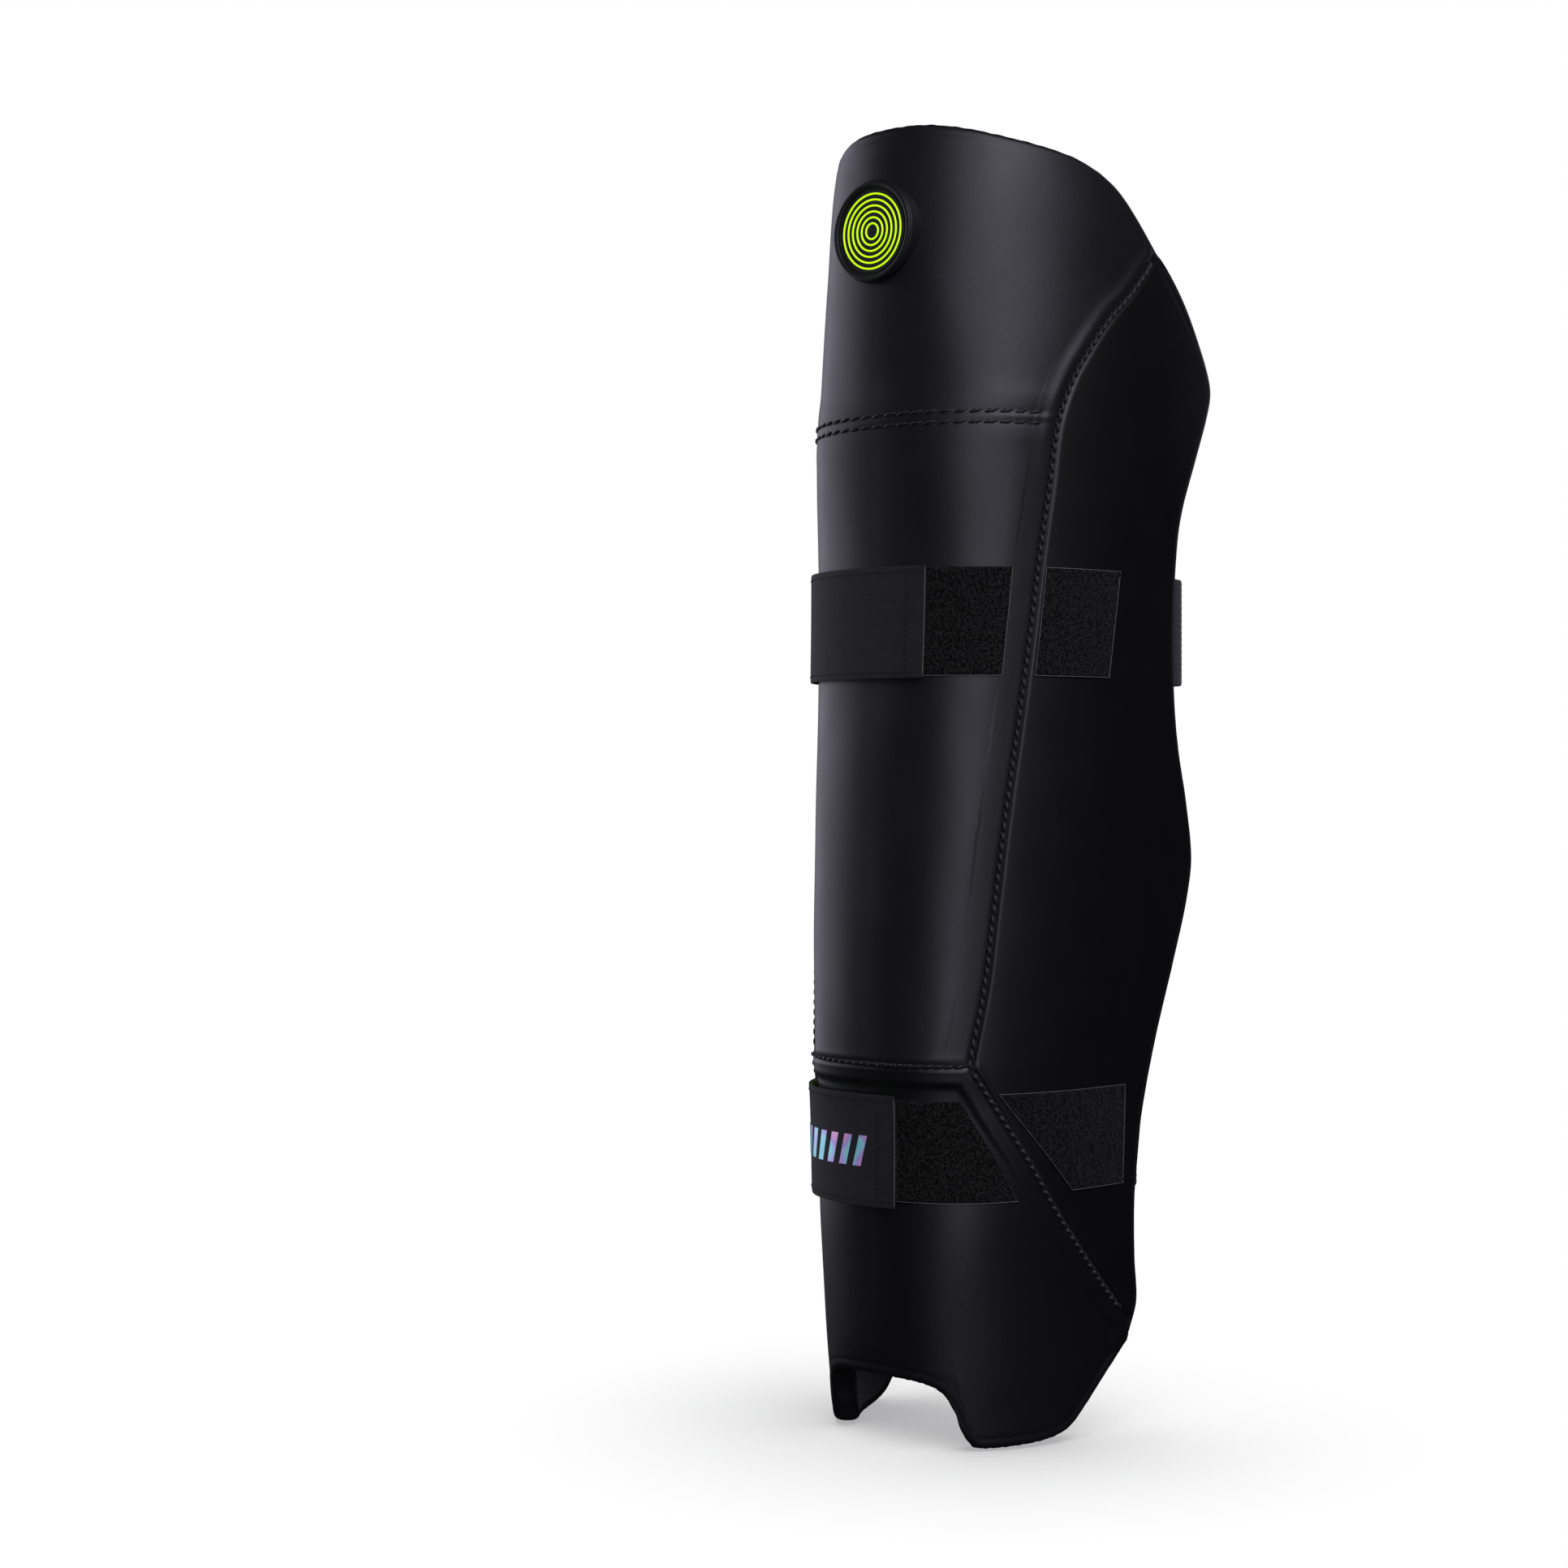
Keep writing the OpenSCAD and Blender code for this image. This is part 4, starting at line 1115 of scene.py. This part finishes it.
def strap_pieces(word):
    strap = STRAPS[word]
    sew, reveal, end_column = 2, 0.6, 6
    heights = steps(strap["z"], strap["z"] + STRAP_W, 20, 0.5)
    rows = [(z, wrap_route(strap, z, BAND_D + BAND_T / 2)) for z in heights]
    band, grid, out = ribbon(f"{word}_strap_band", rows, BAND_T + 0.2, STRAP)
    hang(band, word, "strap_band", f"{word}_strap_band")
    last = len(heights) - 1 - sew
    lines = [np.s_[sew, :], np.s_[last, :], np.s_[sew:last + 1, end_column]]
    parts = [dashes(grid[line], out[line], height=0.52, radius=0.2) for line in lines]
    hang(joined(f"{word}_strap_stitches", parts, STRAP_STITCH, smooth_deg=80), word, "strap_band")
    end_line = (grid[1:-1, 0] + out[1:-1, 0] * BAND_T * 0.35) * MM
    hang(joined(f"{word}_strap_selvage", [tubes(end_line, 0.16)], SELVAGE), word, "strap_band")
    shorter = dict(strap, end=strap["end"] - reveal)
    rows = [(z, wrap_route(shorter, z, BACKING_D + BACKING_T / 2))
            for z in steps(strap["z"] + 0.3, strap["z"] + STRAP_W - 0.35, 12, 0.4)]
    backing = f"{word}_strap_backing"
    hang(ribbon(backing, rows, BACKING_T, LIME_CLOTH)[0], word, "strap_backing", backing)
    rows = [(z, wrap_route(strap, z, HOOK_D + HOOK_T / 2, HOOK_START_U))
            for z in steps(strap["z"] + 2, strap["z"] + STRAP_W - 2, 24, 0.55)]
    hook = f"{word}_strap_hook"
    on_wrap(ribbon(hook, rows, HOOK_T, HOOK)[0], word, hook)
    elastic_piece(word, strap)


def elastic_piece(word, strap):
    """The anchor sewn inside the right wing and the ribbed elastic round the calf, in one length."""
    back = wing_back(strap["z"])

    def route(z):
        u = np.linspace(SIDE_U - 7, SIDE_U + (back - 6) / MM_PER_U, 40)
        held = on_pad(u, z, INNER_D + ELASTIC_T / 2)[:, :2] / MM
        free = oval(strap, np.concatenate([[0.4], np.linspace(2, 176.5, 240)]), 0)
        return relaxed(even(np.concatenate([held, free]), 1.5), 8)

    heights = steps(strap["z"], strap["z"] + STRAP_W, 34)
    piece, grid, out = ribbon(f"{word}_strap_elastic", [(z, route(z)) for z in heights], ELASTIC_T,
                              ELASTIC, ripple=0.12)
    x, y = strap["right"]
    z = (strap["z"] + STRAP_W / 2) * MM
    bend = ("root", f"{word}_span"), (x, y - 0.0045, z), (x - 0.004, y + 0.0075, z)
    bent(piece, "elastic", (f"{word}_strap_elastic", f"{word}_strap_anchor"), *bend)
    bent(joined(f"{word}_elastic_stitches", anchor_rows(grid, out), STRAP_STITCH), "elastic", (), *bend)


def anchor_rows(grid, out):
    """The box of stitches that holds the anchor to the lining."""
    top = grid.shape[0] - 4
    lines = [np.s_[3, :14], np.s_[top, :14], np.s_[3:top + 1, 2], np.s_[3:top + 1, 12]]
    return [dashes(grid[line], -out[line], height=0.62, radius=0.22) for line in lines]


PRINT_BARS, PRINT_PITCH, PRINT_W, PRINT_LEAN = 7, 9.0, 4.6, 4.0
PRINT_LOW, PRINT_TALL, PRINT_T = 18.0, 14.0, 0.2


def print_bars():
    """Slanting foil bars pressed on the lower strap."""
    parts, z0 = [], STRAPS["lower"]["z"] + PRINT_LOW
    across = np.linspace(-60, 20, 400)
    run = run_along(on_pad(across, z0, BAND_D)) / MM
    first = np.interp(0.0, across, run) - PRINT_W
    for k in range(PRINT_BARS):
        v = steps(0, 1, 10)[:, None]
        s = steps(0, 1, 6)[None, :]
        u = np.interp(first - PRINT_PITCH * k + PRINT_W * s + PRINT_LEAN * v, run, across)
        z = z0 + PRINT_TALL * v
        parts.append(solid(on_pad(u, z, BAND_D - 0.1 - PRINT_T), on_pad(u, z, BAND_D + 0.1)))
    on_wrap(joined("lower_strap_print", parts, FOIL), "lower", "lower_strap_print")


# ------------------------ camera, light and floor
CAMERA_AZIMUTH, CAMERA_DISTANCE, CAMERA_HEIGHT = 38.0, 1.350, 0.302
CAMERA_LENS, CAMERA_PAN = 63.58, 4.775


def compass(azimuth, distance, height=0.0):
    """A place round the pad: azimuth 0 is in front of it, 90 on its +X side."""
    a = math.radians(azimuth)
    return Vector((distance * math.sin(a), -distance * math.cos(a), height))


def camera():
    data = bpy.data.cameras.new("camera")
    data.lens, data.sensor_width = CAMERA_LENS, 36.0
    obj = linked("camera", data)
    obj.location = compass(CAMERA_AZIMUTH, CAMERA_DISTANCE, CAMERA_HEIGHT)
    obj.rotation_euler = (math.radians(90), 0, math.radians(CAMERA_AZIMUTH + CAMERA_PAN))
    bpy.context.scene.camera = obj


STUDIO_TINT = (1.0, 0.975, 1.17)


def softbox(name, azimuth, distance, height, size, watts, aim=0.3):
    data = bpy.data.lights.new(name, "AREA")
    data.shape, data.size, data.size_y = "RECTANGLE", *size
    data.energy = watts
    data.color = STUDIO_TINT
    obj = linked(name, data)
    obj.location = compass(azimuth, distance, height)
    obj.rotation_euler = (Vector((0, 0, aim)) - obj.location).to_track_quat("-Z", "Y").to_euler()
    obj.visible_camera = False


LIGHTS = {  # azimuth, distance, height, (width, height) of the box, watts, height aimed at
    "key": (48, 2.0, 0.75, (1.35, 2.2), 11.6),
    "side_key": (74, 1.5, 1.6, (1.1, 1.1), 11.5, 0.45),
    "rim": (-84, 1.9, 0.7, (2.4, 1.8), 13.5),
    "back_fill": (196, 2.0, 1.2, (1.4, 1.4), 5.0),
}


def studio():
    for name, light in LIGHTS.items():
        softbox(name, *light)
    world = bpy.data.worlds.new("studio")
    world.use_nodes = True
    bpy.context.scene.world = world
    tree = world.node_tree
    back = tree.nodes["Background"]
    path = tree.nodes.new("ShaderNodeLightPath")
    dim = node(tree, "ShaderNodeBackground", Color=(1, 1, 1, 1), Strength=0.012)
    mix = tree.nodes.new("ShaderNodeMixShader")
    back.inputs["Color"].default_value = (1, 1, 1, 1)
    back.inputs["Strength"].default_value = 1.0
    tree.links.new(path.outputs["Is Camera Ray"], mix.inputs[0])
    tree.links.new(dim.outputs[0], mix.inputs[1])
    tree.links.new(back.outputs[0], mix.inputs[2])
    tree.links.new(mix.outputs[0], tree.nodes["World Output"].inputs["Surface"])
    bpy.context.scene.view_settings.view_transform = "Standard"


def floor():
    bpy.ops.mesh.primitive_plane_add(size=12, location=(0, 0, cad_box[0].z - 0.0005))
    plane = bpy.context.object
    plane.name = "floor"
    mat = bpy.data.materials.new("floor_white_painted_shadow")
    mat.use_nodes = True
    tree = mat.node_tree
    tree.nodes.remove(tree.nodes["Principled BSDF"])
    # Painted contact shadow: ambient occlusion darkens the floor's white glow under and round the pad.
    occlusion = node(tree, "ShaderNodeAmbientOcclusion", samples=16, Distance=0.16)
    painted_shadow = ramp(tree, occlusion.outputs["AO"], [(0.35, (0.42, 0.42, 0.43)), (0.98, (1, 1, 1))])
    white = tree.nodes.new("ShaderNodeEmission")
    tree.links.new(painted_shadow, white.inputs["Color"])
    tree.links.new(white.outputs[0], tree.nodes["Material Output"].inputs["Surface"])
    plane.data.materials.append(mat)
    plane.visible_diffuse = plane.visible_glossy = plane.visible_shadow = False


camera()
covers()
rims()
welts_and_ropes()
stitched_rows()
foams()
shields()
lining()
for bolster_name, (bolster_box, bolster_channels) in BOLSTERS.items():
    bolster(bolster_name, bolster_box, bolster_channels)
tapes()
badge()
for strap_word in STRAPS:
    strap_pieces(strap_word)
print_bars()
studio()
floor()
